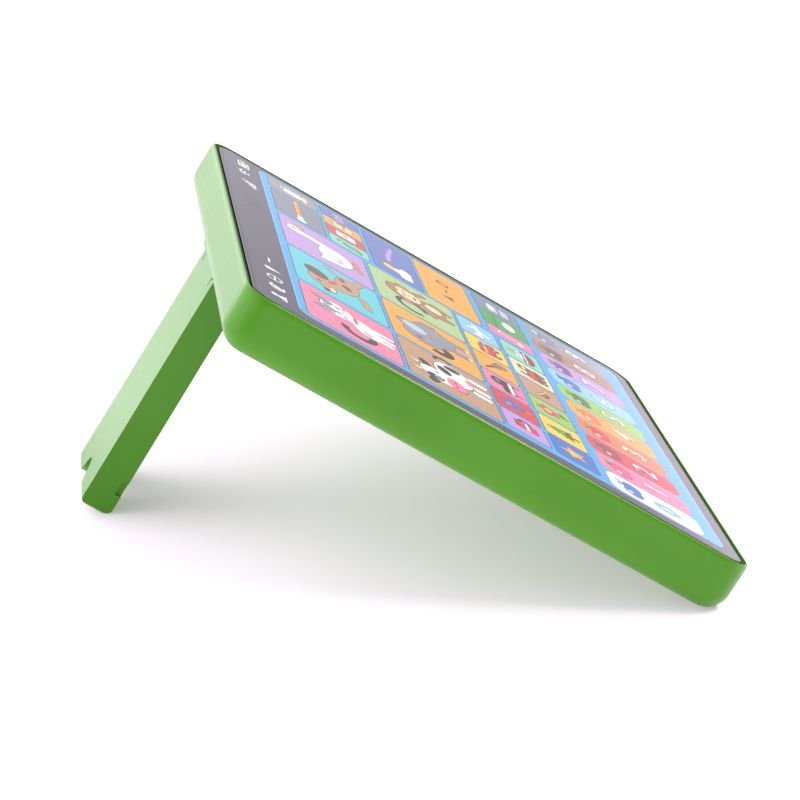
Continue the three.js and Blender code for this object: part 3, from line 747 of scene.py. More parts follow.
# ---------- screen ----------
class TABLET_OT_surround(Operator):
    """Black plate whose raised border shows as the dark line round the screen"""

    bl_idname = "toy_tablet.surround"
    bl_label = "Surround"

    def execute(self, context):
        sizes = context.scene.tablet_sizes
        inset = sizes.rim + GAP
        half_x, half_y = sizes.width / 2 - inset, sizes.height / 2 - inset
        plate = block("surround", (-half_x, -half_y, LEDGE_Z + GAP), (half_x, half_y, BORDER_Z))
        bevel(plate, upright, sizes.corner - inset, 12)
        with editing(plate, "FACE"):
            pick(plate, "faces", face_at(BORDER_Z))
            bpy.ops.mesh.inset(thickness=1.5 * MM)
            sink(FILM_BED_Z - BORDER_Z)
        bevel(plate, edge_at(2, BORDER_Z), 0.3 * MM, 2)
        for x, y in CASE_SCREWS:
            fuse(plate, rod("post", x, y, 3.4 * MM, 8.3 * MM, 17 * MM))
            cut(plate, rod("bore", x, y, 1.6 * MM, 8 * MM, 16 * MM, 16))
        for x, y in BOARD_POSTS:
            fuse(plate, rod("post", x, y, 2.8 * MM, 14.3 * MM, 17 * MM))
            cut(plate, rod("bore", x, y, 1.3 * MM, 14 * MM, 17.4 * MM, 16))
        cut(plate, block("tail_slot", Vector((58, -27.6, 15)) * MM, Vector((80, -25.2, 20)) * MM))
        shade(plate, 30)
        dress(plate, bpy.data.materials["surround_plastic"])
        set_down(plate, "tablet")
        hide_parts("front_plate")
        return {"FINISHED"}


class TABLET_OT_screen_sheet(Operator):
    """Glossy picture sheet that the keys are printed on. Its near-black edge and the ring left round the
    print are painted shade of the gap between rim and screen
    """

    bl_idname = "toy_tablet.screen_sheet"
    bl_label = "Screen Sheet"

    def execute(self, context):
        sheet = block("screen_sheet", (-SHEET_HALF.x, -SHEET_HALF.y, SHEET_LOW_Z),
                      (SHEET_HALF.x, SHEET_HALF.y, SHEET_TOP_Z))
        bevel(sheet, upright, 7.7 * MM, 12)
        bevel(sheet, edge_at(2, SHEET_TOP_Z), 0.35 * MM, 3)
        shade(sheet, 30)
        # The sheet's near-black ink is painted shade: its edge and the ring round the printed margin stand
        # in for the dark gap inside the rim.
        dress(sheet, ink("border", context.scene.tablet_colours.screen_edge))
        set_down(sheet, "tablet")
        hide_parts("printed_sheet")
        return {"FINISHED"}


# ---------- printing ----------
PRINT_STEP = 0.003 * MM
INK_THICK = 0.015 * MM
GROUND_LIFT = 0.008 * MM
KEY_LIFT = 0.02 * MM
OUTLINE = 0.3 * MM
INK_DEPTH = 1.3
SMALL_LEFT = 14
SMALL_PITCH = 25.3
DIGIT_LEFT = 10
DIGIT_PITCH = 22.1
DIGIT_SIZE = 16 * MM
DIGIT_DROP = 32.4
BIG_COLUMNS = ((12.5, 60.4), (63.4, 113.6), (115.6, 165.8))
BIG_ROWS = ((23.8, 64.9), (67.2, 108.3))
SMALL_ROWS = ((110.4, 129.6), (132.4, 151.6))
DIGIT_ROW = (156.4, 198.8)


def srgb(code):
    """Linear colour of a six-digit hex code."""
    channels = (int(code[i:i + 2], 16) / 255 for i in (0, 2, 4))
    return tuple(c / 12.92 if c <= 0.04045 else ((c + 0.055) / 1.055) ** 2.4 for c in channels)


INKS = {
    "line": "2a2733", "white": "f6f7f8", "shade": "c9d2dc", "black": "26242c", "pink": "f08fb2",
    "rose": "e5608f", "red": "dd3347", "wine": "a3283a", "orange": "f18a33", "amber": "f6b42e",
    "yellow": "f7d648", "cream": "f4e3bd", "lime": "a9cf5b", "green": "4faf4c", "forest": "2c8148",
    "mint": "9bdcc6", "cyan": "6fd0dd", "sky": "9fd3f5", "blue": "3f7fd0", "navy": "2b4a8e",
    "violet": "8d6cc4", "lilac": "c9a7dd", "purple": "8a3f9e", "brown": "7d4f36", "tan": "b98a68",
    "sand": "c9a585", "grey": "9aa0ab", "steel": "7c8796", "slate": "8f93a6", "smoke": "a9a3a5",
    "olive": "bcd39a", "indigo": "7385c9", "panel": "4fb4e6", "panel_edge": "7fd2f7",
    "shadow": "8fa4b8", "field": "4a4656", "margin": "5b4d6c",
}


def ink_of(name):
    """An ink from the list, laid down thick enough to stay strong under the gloss."""
    return ink(name, tuple(0.95 * channel ** INK_DEPTH for channel in srgb(INKS[name])))


class Pen:
    """Lays flat shapes on the screen sheet, each a hair above the last.

    A place or a size is in units of half the key's height.
    """

    def __init__(self, obj, key):
        left, right, top, bottom = (value * MM for value in key)
        self.obj = obj
        self.centre = Vector(((left + right) / 2 - SHEET_HALF.x, SHEET_HALF.y - (top + bottom) / 2, 0))
        self.unit = (bottom - top) / 2
        self.half_width = (right - left) / (bottom - top)
        self.height = SHEET_TOP_Z + KEY_LIFT

    def spot(self, x, y):
        self.height += PRINT_STEP
        return self.centre + Vector((x * self.unit, y * self.unit, self.height))

    def colour(self, name):
        material = ink_of(name)
        slots = self.obj.data.materials
        if material.name not in slots:
            slots.append(material)
        self.obj.active_material_index = slots.find(material.name)
        bpy.ops.object.material_slot_assign()
        bpy.ops.mesh.select_all(action="DESELECT")

    def shape_up(self, centre, width, height, turn=0):
        """Gives the fresh unit shape its width and height, and turns it by degrees."""
        bpy.ops.transform.resize(value=(width, height, 1), center_override=centre)
        bpy.ops.transform.rotate(value=-radians(turn), orient_axis="Z", center_override=centre)

    def oval(self, name, x, y, rx, ry, turn=0, grow=0.0, sides=28):
        centre = self.spot(x, y)
        bpy.ops.mesh.primitive_circle_add(vertices=sides, radius=1, fill_type="NGON", location=centre)
        self.shape_up(centre, rx * self.unit + grow, ry * self.unit + grow, turn)
        self.colour(name)

    def wedge(self, name, x, y, rx, ry, turn=0, grow=0.0):
        self.oval(name, x, y, rx, ry, turn, grow * 1.8, sides=3)

    def panel(self, name, centre, width, height, radius, turn=0):
        bpy.ops.mesh.primitive_plane_add(size=1, location=centre)
        self.shape_up(centre, width, height, turn)
        bpy.ops.mesh.bevel(offset=radius, segments=6, affect="VERTICES")
        self.colour(name)

    def bar(self, name, x, y, rx, ry, turn=0, ease=0.5, grow=0.0):
        width = 2 * (rx * self.unit + grow)
        height = 2 * (ry * self.unit + grow)
        self.panel(name, self.spot(x, y), width, height, min(width, height) * ease * 0.96, turn)

    def plate(self, name, margin, radius):
        width = 2 * (self.half_width * self.unit + margin)
        height = 2 * (self.unit + margin)
        self.panel(name, self.spot(0, 0), width, height, radius + margin)

    def arc(self, name, x, y, radius, width, start, end, grow=0.0):
        """A bent stroke: part of a ring, from one angle round to another."""
        centre = self.spot(x, y)
        inner = (radius - width / 2) * self.unit - grow
        outer = (radius + width / 2) * self.unit + grow
        bpy.ops.mesh.primitive_circle_add(vertices=60, radius=inner, fill_type="NOTHING", location=centre)
        mesh = bmesh.from_edit_mesh(self.obj.data)
        kept = []
        for vertex in mesh.verts:
            if vertex.select:
                offset = vertex.co - centre
                angle = (atan2(offset.y, offset.x) - radians(start)) % (2 * pi)
                vertex.select_set(angle > radians(end - start))
                if angle <= radians(end - start):
                    kept.append(vertex)
        places = [vertex.co.copy() for vertex in kept]
        bpy.ops.mesh.delete(type="VERT")
        mesh = bmesh.from_edit_mesh(self.obj.data)
        for vertex in mesh.verts:
            if any((vertex.co - place).length < 1e-9 for place in places):
                vertex.select_set(True)
        mesh.select_flush(True)
        bmesh.update_edit_mesh(self.obj.data)
        bpy.ops.mesh.extrude_edges_move()
        bpy.ops.transform.resize(value=(outer / inner, outer / inner, 1), center_override=centre)
        self.colour(name)

    def draw(self, shapes, grow=0.0, name=None):
        for kind, shape_ink, *sizes in shapes:
            getattr(self, kind)(name or shape_ink, *sizes, grow=grow)

    def figure(self, form, marks=()):
        """A picture: its form gets a dark outline all round, its marks don't."""
        self.draw(form, OUTLINE, "line")
        self.draw(form)
        self.draw(marks)


@contextmanager
def printing(name, key):
    """Opens a fresh film of ink over the key, and closes it to a thin solid on the sheet."""
    bpy.ops.object.select_all(action="DESELECT")
    bpy.ops.object.add(type="MESH")
    obj = bpy.context.object
    obj.name = name
    bpy.ops.object.mode_set(mode="EDIT")
    bpy.ops.mesh.select_mode(type="VERT")
    yield Pen(obj, key)
    bpy.ops.object.mode_set(mode="OBJECT")
    step = obj.modifiers.new("Film", "SOLIDIFY")
    step.thickness = INK_THICK
    step.offset = -1
    bpy.ops.object.modifier_apply(modifier=step.name)
    with editing(obj):
        bpy.ops.mesh.select_all(action="SELECT")
        bpy.ops.mesh.normals_make_consistent(inside=False)
    set_down(obj, "tablet")


def print_key(name, key, ground, picture=None, radius=2.6, edge="line"):
    """One key: a dark edge, its coloured ground and its picture."""
    with printing("key_" + name, key) as pen:
        pen.plate(edge, 0.45 * MM, radius * MM)
        pen.plate(ground, 0, radius * MM)
        if picture:
            pen.figure(*PICTURES[picture])


def row(kind, shape_ink, places, *rest):
    """Like shapes side by side, one at each x in places."""
    return [(kind, shape_ink, x, *rest) for x in places]


# Pictures: (form, marks). Each shape is its kind, ink, x, y, and then its half sizes and turn in degrees.
PICTURES = {
    "cat": ((
        ("arc", "shade", -0.5, -0.12, 0.3, 0.15, 70, 290),
        ("oval", "white", 0.02, -0.36, 0.4, 0.32, 10), ("bar", "white", -0.2, -0.72, 0.09, 0.2),
        ("bar", "white", 0.05, -0.76, 0.09, 0.2), ("bar", "white", 0.32, -0.74, 0.09, 0.22),
        ("oval", "white", 0.22, -0.2, 0.26, 0.36, -8), ("wedge", "grey", 0.08, 0.56, 0.2, 0.24, 20),
        ("wedge", "grey", 0.66, 0.56, 0.2, 0.24, -20), ("oval", "white", 0.37, 0.26, 0.42, 0.36),
    ), (
        ("oval", "grey", 0.2, 0.44, 0.19, 0.13, 28), ("oval", "grey", 0.56, 0.45, 0.17, 0.12, -28),
        *row("oval", "line", (0.24, 0.54), 0.24, 0.045, 0.07),
        ("oval", "pink", 0.39, 0.12, 0.05, 0.035), *row("oval", "pink", (0.14, 0.64), 0.1, 0.08, 0.05),
        ("oval", "shade", -0.2, -0.34, 0.13, 0.1, 20), ("oval", "rose", 0.3, -0.13, 0.2, 0.05),
    )),
    "dog": ((
        ("bar", "sand", 0.92, 0.02, 0.24, 0.06, 42), ("bar", "sand", -0.38, -0.58, 0.34, 0.09, 8),
        ("bar", "sand", 0.88, -0.52, 0.32, 0.09, -24), ("oval", "sand", 0.3, -0.24, 0.62, 0.27, -8),
        ("oval", "sand", -0.12, 0.02, 0.27, 0.32, 30), ("oval", "sand", -0.68, 0.26, 0.24, 0.16, -10),
        ("oval", "sand", -0.34, 0.38, 0.35, 0.3), ("oval", "brown", 0.1, 0.46, 0.3, 0.25, 20),
    ), (
        ("oval", "line", -0.88, 0.33, 0.09, 0.07), ("oval", "line", -0.46, 0.46, 0.045, 0.06),
        ("oval", "brown", 0.16, -0.22, 0.15, 0.1, 20), ("oval", "brown", 0.62, -0.16, 0.12, 0.08),
        ("oval", "cream", -0.7, 0.18, 0.12, 0.06), ("oval", "red", -0.06, 0.12, 0.06, 0.2, 55),
    )),
    "goose": ((
        ("oval", "orange", -0.14, -0.78, 0.2, 0.06, 6), ("oval", "orange", 0.2, -0.74, 0.2, 0.06, 6),
        ("bar", "orange", -0.12, -0.62, 0.04, 0.16), ("bar", "orange", 0.18, -0.6, 0.04, 0.16),
        ("wedge", "white", -0.62, 0.02, 0.24, 0.3, 50), ("oval", "white", -0.1, -0.22, 0.56, 0.4, -6),
        ("bar", "white", 0.38, 0.24, 0.14, 0.46, -6), ("oval", "orange", 0.72, 0.56, 0.22, 0.09, -8),
        ("oval", "white", 0.44, 0.66, 0.25, 0.2),
    ), (
        ("oval", "line", 0.5, 0.7, 0.045, 0.06), ("oval", "shade", -0.18, -0.18, 0.32, 0.19, 14),
        ("oval", "white", -0.12, -0.12, 0.28, 0.16, 14), ("bar", "amber", 0.7, 0.55, 0.18, 0.015, -8),
    )),
    "cow": ((
        ("bar", "white", -0.06, -0.72, 0.1, 0.22), ("bar", "white", 0.26, -0.76, 0.1, 0.2),
        ("bar", "white", 0.7, -0.72, 0.1, 0.22), ("arc", "black", 0.98, -0.02, 0.2, 0.06, -60, 110),
        ("oval", "white", 0.36, -0.14, 0.56, 0.42), ("oval", "black", -0.72, 0.42, 0.2, 0.1, -24),
        ("oval", "black", 0.14, 0.5, 0.2, 0.1, 24), ("wedge", "cream", -0.48, 0.74, 0.1, 0.16, 10),
        ("wedge", "cream", -0.06, 0.76, 0.1, 0.16, -10), ("oval", "white", -0.28, 0.24, 0.36, 0.44),
        ("oval", "pink", -0.3, -0.12, 0.34, 0.22),
    ), (
        ("oval", "black", -0.46, 0.36, 0.14, 0.2, 14), ("oval", "black", 0.36, 0.06, 0.2, 0.15, 20),
        ("oval", "black", 0.72, -0.16, 0.14, 0.2, 20), ("oval", "white", -0.42, 0.3, 0.06, 0.08),
        ("oval", "line", -0.41, 0.29, 0.035, 0.055), ("oval", "line", -0.14, 0.3, 0.035, 0.055),
        *row("oval", "wine", (-0.42, -0.18), -0.1, 0.05, 0.035),
        ("oval", "pink", 0.42, -0.5, 0.16, 0.09),
    )),
    "elephant": ((
        *row("bar", "grey", (-0.02, 0.5), -0.68, 0.15, 0.26),
        ("arc", "grey", -0.62, -0.04, 0.26, 0.2, 150, 330), ("oval", "grey", 0.26, -0.08, 0.58, 0.48),
        ("bar", "grey", 0.88, -0.02, 0.04, 0.2, 20), ("oval", "grey", -0.3, 0.24, 0.44, 0.44),
        ("oval", "smoke", 0.12, 0.4, 0.32, 0.38, -12),
    ), (
        ("oval", "shade", 0.12, 0.38, 0.23, 0.28, -12), ("oval", "line", -0.44, 0.34, 0.05, 0.07),
        ("oval", "pink", -0.36, 0.12, 0.09, 0.06),
        *row("oval", "white", (-0.1, 0.02, 0.42, 0.54), -0.88, 0.04, 0.05),
        ("oval", "smoke", 0.36, -0.12, 0.3, 0.2),
    )),
    "monkey": ((
        ("arc", "brown", -0.62, 0.16, 0.34, 0.1, -80, 220), ("bar", "tan", -0.16, -0.66, 0.1, 0.26, 20),
        ("bar", "tan", 0.5, -0.66, 0.1, 0.26, -20), ("oval", "tan", 0.18, -0.42, 0.36, 0.32),
        ("bar", "tan", -0.28, -0.2, 0.08, 0.3, -40), ("bar", "tan", 0.72, -0.12, 0.08, 0.32, 46),
        *row("oval", "tan", (-0.26, 0.7), 0.24, 0.15, 0.16), ("oval", "tan", 0.22, 0.26, 0.46, 0.42),
    ), (
        ("oval", "cream", 0.18, -0.44, 0.2, 0.2), *row("oval", "cream", (0.08, 0.36), 0.24, 0.18, 0.2),
        ("oval", "cream", 0.22, 0.06, 0.3, 0.2), *row("oval", "line", (0.1, 0.34), 0.26, 0.04, 0.06),
        *row("oval", "brown", (0.18, 0.26), 0.13, 0.025, 0.02), ("oval", "wine", 0.22, 0.0, 0.11, 0.04),
        *row("oval", "pink", (-0.26, 0.7), 0.24, 0.07, 0.08),
    )),
    "mug": ((
        ("arc", "red", 0.46, -0.04, 0.24, 0.12, -90, 90), ("bar", "red", 0, -0.05, 0.42, 0.52, 0, 0.2),
    ), (("oval", "wine", 0, 0.4, 0.34, 0.09), ("bar", "white", 0, -0.1, 0.42, 0.08, 0, 0.0))),
    "balloon": ((
        ("bar", "white", 0.02, -0.66, 0.02, 0.2, 8), ("oval", "blue", 0, 0.14, 0.44, 0.52),
        ("wedge", "blue", 0, -0.44, 0.1, 0.1),
    ), (("oval", "sky", -0.16, 0.34, 0.1, 0.15, 20),)),
    "piano": ((
        *row("bar", "black", (-0.56, 0.62), -0.62, 0.05, 0.2),
        ("oval", "black", 0.3, 0.3, 0.5, 0.32, -12), ("bar", "black", -0.04, -0.16, 0.82, 0.28, 0, 0.2),
    ), (
        ("bar", "white", -0.04, -0.3, 0.74, 0.09, 0, 0.1),
        ("oval", "steel", 0.34, 0.32, 0.3, 0.14, -12),
    )),
    "violin": ((
        ("bar", "brown", -0.44, 0.34, 0.5, 0.05, -34), ("oval", "tan", 0.52, -0.34, 0.38, 0.3, -34),
        ("oval", "tan", 0.14, -0.08, 0.3, 0.22, -34),
    ), (("bar", "line", 0.1, -0.04, 0.5, 0.02, -34), ("oval", "brown", 0.46, -0.3, 0.14, 0.04, -34))),
    "truck": ((
        ("bar", "red", -0.2, 0.06, 0.62, 0.32, 0, 0.2), ("bar", "blue", 0.6, -0.02, 0.26, 0.24, 0, 0.3),
        ("bar", "red", 0.1, -0.34, 0.84, 0.14, 0, 0.4),
        *row("oval", "black", (-0.4, 0.52), -0.52, 0.2, 0.2),
    ), (
        *row("oval", "shade", (-0.4, 0.52), -0.52, 0.09, 0.09), ("bar", "sky", 0.66, 0.04, 0.12, 0.1),
        ("bar", "yellow", -0.2, 0.06, 0.46, 0.06),
    )),
    "plane": ((
        ("wedge", "white", -0.76, 0.24, 0.16, 0.26, 20), ("bar", "white", 0, 0.02, 0.86, 0.17, 6),
        ("bar", "white", -0.06, -0.28, 0.14, 0.44, -38), ("bar", "white", 0.1, 0.36, 0.1, 0.3, 38),
    ), (
        ("oval", "blue", 0.62, 0.12, 0.08, 0.05), ("oval", "blue", 0.3, 0.08, 0.05, 0.04),
        ("oval", "blue", 0.08, 0.06, 0.05, 0.04), ("oval", "blue", -0.14, 0.03, 0.05, 0.04),
    )),
    "star": ((
        ("wedge", "amber", 0, 0.4, 0.24, 0.29), ("wedge", "amber", 0.38, 0.12, 0.24, 0.29, -72),
        ("wedge", "amber", -0.38, 0.12, 0.24, 0.29, 72),
        ("wedge", "amber", -0.24, -0.32, 0.24, 0.29, 144),
        ("wedge", "amber", 0.24, -0.32, 0.24, 0.29, -144), ("oval", "amber", 0, 0, 0.32, 0.32),
    ), (("oval", "yellow", 0, 0.02, 0.2, 0.2),)),
    "tree": ((
        ("bar", "brown", 0, -0.64, 0.1, 0.18), ("wedge", "forest", 0, -0.2, 0.66, 0.5),
        ("wedge", "green", 0, 0.1, 0.54, 0.44), ("wedge", "green", 0, 0.42, 0.4, 0.36),
    ), (("oval", "red", -0.16, -0.3, 0.06, 0.06), ("oval", "yellow", 0.14, -0.06, 0.06, 0.06))),
    "flower": ((
        ("bar", "forest", 0.12, -0.5, 0.04, 0.34, -14), ("oval", "green", 0.36, -0.56, 0.2, 0.08, 30),
        ("oval", "rose", 0, 0.52, 0.19, 0.22), ("oval", "rose", 0.36, 0.24, 0.22, 0.19),
        *row("oval", "rose", (0.22, -0.22), -0.14, 0.19, 0.2),
        ("oval", "rose", -0.36, 0.24, 0.22, 0.19),
    ), (("oval", "yellow", 0, 0.18, 0.2, 0.2),)),
    "trumpet": ((
        ("bar", "amber", -0.12, 0.0, 0.74, 0.07, -30), ("wedge", "amber", 0.62, -0.4, 0.34, 0.34, 60),
        ("arc", "amber", -0.1, -0.06, 0.26, 0.1, 150, 330),
    ), (("oval", "brown", 0.78, -0.48, 0.05, 0.22, -30),)),
    "train": ((
        ("bar", "forest", 0.4, 0.22, 0.32, 0.38, 0, 0.15),
        ("bar", "red", -0.3, -0.02, 0.5, 0.24, 0, 0.4), ("bar", "line", -0.54, 0.4, 0.1, 0.22, 0, 0.2),
        ("bar", "wine", 0, -0.36, 0.8, 0.12), *row("oval", "black", (-0.5, 0.0, 0.5), -0.58, 0.2, 0.2),
    ), (
        ("bar", "cream", 0.4, 0.34, 0.16, 0.14),
        *row("oval", "amber", (-0.5, 0.0, 0.5), -0.58, 0.08, 0.08),
    )),
    "ship": ((
        ("bar", "white", 0.0, 0.14, 0.4, 0.2, 0, 0.15),
        ("bar", "orange", 0.1, 0.48, 0.12, 0.24, 0, 0.15), ("oval", "wine", 0, -0.34, 0.86, 0.3),
        ("bar", "wine", 0, -0.2, 0.86, 0.14, 0, 0.2),
    ), (
        ("bar", "white", 0, -0.2, 0.8, 0.04),
        *row("oval", "blue", (-0.2, 0.04, 0.26), 0.14, 0.07, 0.07),
    )),
    "pencil": ((
        ("wedge", "cream", 1.36, 0.0, 0.12, 0.22, -90), ("bar", "amber", 0.3, 0.0, 0.98, 0.1, 0, 0.1),
        ("bar", "white", -0.94, 0.0, 0.3, 0.12, 0, 0.3), ("oval", "white", -1.2, -0.02, 0.2, 0.2),
    ), (("bar", "orange", 0.3, -0.03, 0.96, 0.025, 0, 0.1), ("oval", "line", 1.5, 0.0, 0.06, 0.04))),
    "cup": ((
        ("bar", "white", 0, 0.06, 0.3, 0.46, 0, 0.3), ("oval", "cream", 0, -0.5, 0.42, 0.12),
    ), (("oval", "tan", 0, 0.42, 0.22, 0.08),)),
    "leaf": ((
        ("oval", "green", 0.06, 0.16, 0.3, 0.5, -30), ("oval", "green", -0.1, -0.44, 0.36, 0.16, 20),
    ), (("bar", "white", 0.04, 0.08, 0.02, 0.4, -30), ("oval", "white", 0.1, 0.4, 0.1, 0.08))),
    "card": ((("bar", "white", 0, 0, 0.42, 0.5, 0, 0.15),), (("oval", "red", 0, 0.02, 0.16, 0.16),)),
    "jug": ((
        ("arc", "cream", 0.32, 0.02, 0.2, 0.1, -90, 90),
        ("bar", "cream", -0.04, -0.02, 0.34, 0.5, 0, 0.3),
    ), (("bar", "orange", -0.04, -0.06, 0.28, 0.08),)),
    "bow": ((
        ("oval", "lilac", -0.3, 0.02, 0.3, 0.3, 20), ("oval", "lilac", 0.3, 0.02, 0.3, 0.3, -20),
        ("oval", "violet", 0, 0.0, 0.12, 0.16),
    ), ()),
    "weather": ((
        ("oval", "yellow", -1.36, 0.28, 0.28, 0.28), ("oval", "white", -1.78, -0.34, 0.28, 0.24),
        ("oval", "white", -1.4, -0.24, 0.34, 0.36), ("oval", "white", -1.0, -0.4, 0.28, 0.22),
        ("bar", "white", -1.4, -0.5, 0.6, 0.16),
    ), (
        ("oval", "lilac", 0.1, 0.16, 0.62, 0.12, -6), ("oval", "lilac", 0.9, 0.02, 0.5, 0.1, -4),
        ("oval", "lilac", 1.5, -0.12, 0.4, 0.08, -4),
    )),
    "sums": ((
    ), (
        ("wedge", "brown", -0.84, 0.0, 0.3, 0.3), ("bar", "brown", 0.0, 0.0, 0.2, 0.045),
        ("oval", "brown", 0.84, 0.02, 0.26, 0.26), ("oval", "amber", 0.84, 0.02, 0.15, 0.15),
    )),
    "note": ((
        ("oval", "white", -0.1, -0.42, 0.2, 0.14, 20), ("bar", "white", 0.08, 0.08, 0.04, 0.5),
        ("bar", "white", 0.2, 0.48, 0.18, 0.06, -24),
    ), ()),
    "egg": ((
        ("oval", "white", 0.1, -0.24, 0.5, 0.3),
    ), (("oval", "yellow", 0.1, -0.22, 0.16, 0.12), ("bar", "forest", 0.0, 0.42, 0.8, 0.05))),
    "drum": ((
        ("bar", "shade", 0, -0.1, 0.5, 0.34, 0, 0.1), ("oval", "white", 0, 0.26, 0.5, 0.16),
        ("oval", "shade", 0, -0.44, 0.5, 0.14),
    ), (("bar", "violet", 0, -0.12, 0.48, 0.06),)),
}

# Ten digit keys: ground, the fruit's ink and its second ink.
DIGIT_KEYS = (
    ("white", "blue", "sky"), ("pink", "rose", "green"), ("red", "wine", "forest"),
    ("orange", "red", "green"), ("amber", "orange", "lime"), ("lime", "forest", "green"),
    ("sky", "blue", "navy"), ("lilac", "purple", "green"), ("tan", "brown", "forest"),
    ("smoke", "slate", "white"),
)


def fruit(first, second):
    """A round fruit with a leaf, in the upper part of a digit key."""
    return ((
        ("bar", "brown", 0.02, 0.74, 0.02, 0.07, 14), ("oval", second, 0.14, 0.74, 0.12, 0.05, 24),
        ("oval", first, -0.12, 0.48, 0.2, 0.2), ("oval", first, 0.12, 0.48, 0.2, 0.2),
    ), (("oval", "white", -0.16, 0.56, 0.05, 0.06, -30),))


class TABLET_OT_screen_ground(Operator):
    """Dark printed margin and the sky-blue ground that the keys lie on"""

    bl_idname = "toy_tablet.screen_ground"
    bl_label = "Screen Ground"

    def execute(self, context):
        with printing("screen_margin", (1.8, 238, 1.6, 211.8)) as pen:
            pen.height = SHEET_TOP_Z
            pen.plate("margin", 0, 6.5 * MM)
        with printing("screen_ground", (9.4, 233.6, 20.2, 206.6)) as pen:
            pen.height = SHEET_TOP_Z + GROUND_LIFT
            pen.plate("panel_edge", 0.5 * MM, 5 * MM)
            pen.plate("panel", 0, 5 * MM)
        return {"FINISHED"}


class TABLET_OT_animal_keys(Operator):
    """Six large keys with an animal each"""

    bl_idname = "toy_tablet.animal_keys"
    bl_label = "Animal Keys"

    def execute(self, context):
        keys = (("cat", "pink"), ("dog", "cyan"), ("goose", "lilac"), ("cow", "sand"),
                ("elephant", "amber"), ("monkey", "olive"))
        for index, (animal, ground) in enumerate(keys):
            row, column = divmod(index, 3)
            print_key(animal, (*BIG_COLUMNS[column], *BIG_ROWS[row]), ground, animal)
        return {"FINISHED"}


class TABLET_OT_small_keys(Operator):
    """Twelve small keys with everyday things"""

    bl_idname = "toy_tablet.small_keys"
    bl_label = "Small Keys"

    def execute(self, context):
        keys = (("mug", "lilac"), ("balloon", "red"), ("piano", "pink"), ("violin", "amber"),
                ("truck", "yellow"), ("plane", "sky"), ("star", "blue"), ("tree", "yellow"),
                ("flower", "lime"), ("trumpet", "sand"), ("train", "cream"), ("ship", "mint"))
        for index, (thing, ground) in enumerate(keys):
            row, column = divmod(index, 6)
            left = SMALL_LEFT + column * SMALL_PITCH
            print_key(thing, (left + 0.9, left + SMALL_PITCH - 0.9, *SMALL_ROWS[row]), ground, thing, 2.2)
        return {"FINISHED"}


class TABLET_OT_side_keys(Operator):
    """Column of keys down the right side"""

    bl_idname = "toy_tablet.side_keys"
    bl_label = "Side Keys"

    def execute(self, context):
        keys = (
            ("pencil", (170, 209.6, 24, 48.2), "slate"), ("cup", (211.6, 231.4, 24, 48.2), "smoke"),
            ("leaf", (170.4, 184.4, 50.4, 69.6), "mint"), ("card", (186.4, 200.2, 50.4, 69.6), "red"),
            ("jug", (202.2, 216, 50.4, 69.6), "amber"), ("bow", (218, 231.4, 50.4, 69.6), "indigo"),
            ("weather", (170, 231.4, 72.2, 96.2), "indigo"), ("sums", (169.4, 231.4, 98.4, 125.2), "amber"),
            ("note", (169.6, 184.2, 129.4, 152.4), "pink"), ("egg", (186.2, 209, 129.4, 152.4), "green"),
            ("drum", (211, 231.4, 129.4, 152.4), "slate"),
        )
        for thing, key, ground in keys:
            print_key(thing, key, ground, thing, 2.2)
        return {"FINISHED"}


def print_digit(digit, key, digit_ink, edge_ink):
    """A bold rounded numeral in the lower part of its key."""
    left, right, top, _ = key
    x = (left + right) / 2 * MM - SHEET_HALF.x
    place = Vector((x, SHEET_HALF.y - (top + DIGIT_DROP) * MM, SHEET_TOP_Z))
    for name, name_ink, swell, height in (("edge", edge_ink, 0.55, 0.09), ("face", digit_ink, 0.18, 0.11)):
        bpy.ops.object.select_all(action="DESELECT")
        bpy.ops.object.text_add(radius=DIGIT_SIZE, location=place + Vector((0, 0, height * MM)))
        text = bpy.context.object
        text.name = f"digit_{digit}_{name}"
        text.data.body = str(digit)
        text.data.align_x = "CENTER"
        text.data.resolution_u = 6
        text.data.offset = swell * MM
        text.data.extrude = 0.008 * MM
        bpy.ops.object.convert(target="MESH")
        bpy.ops.object.transform_apply(location=True, rotation=True, scale=True)
        dress(text, ink_of(name_ink))
        set_down(text, "tablet")


class TABLET_OT_digit_keys(Operator):
    """Row of ten digit keys, each with a small fruit above its numeral"""

    bl_idname = "toy_tablet.digit_keys"
    bl_label = "Digit Keys"

    def execute(self, context):
        for digit, (ground, first, second) in enumerate(DIGIT_KEYS):
            left = DIGIT_LEFT + digit * DIGIT_PITCH
            key = (left + 0.6, left + DIGIT_PITCH - 0.6, *DIGIT_ROW)
            with printing(f"key_digit_{digit}", key) as pen:
                pen.plate("shadow", 0.3 * MM, 5.5 * MM)
                pen.plate(ground, 0, 5.5 * MM)
                pen.figure(*fruit(first, second))
            print_digit(digit, key, "sky" if digit == 0 else "white", first)
        return {"FINISHED"}


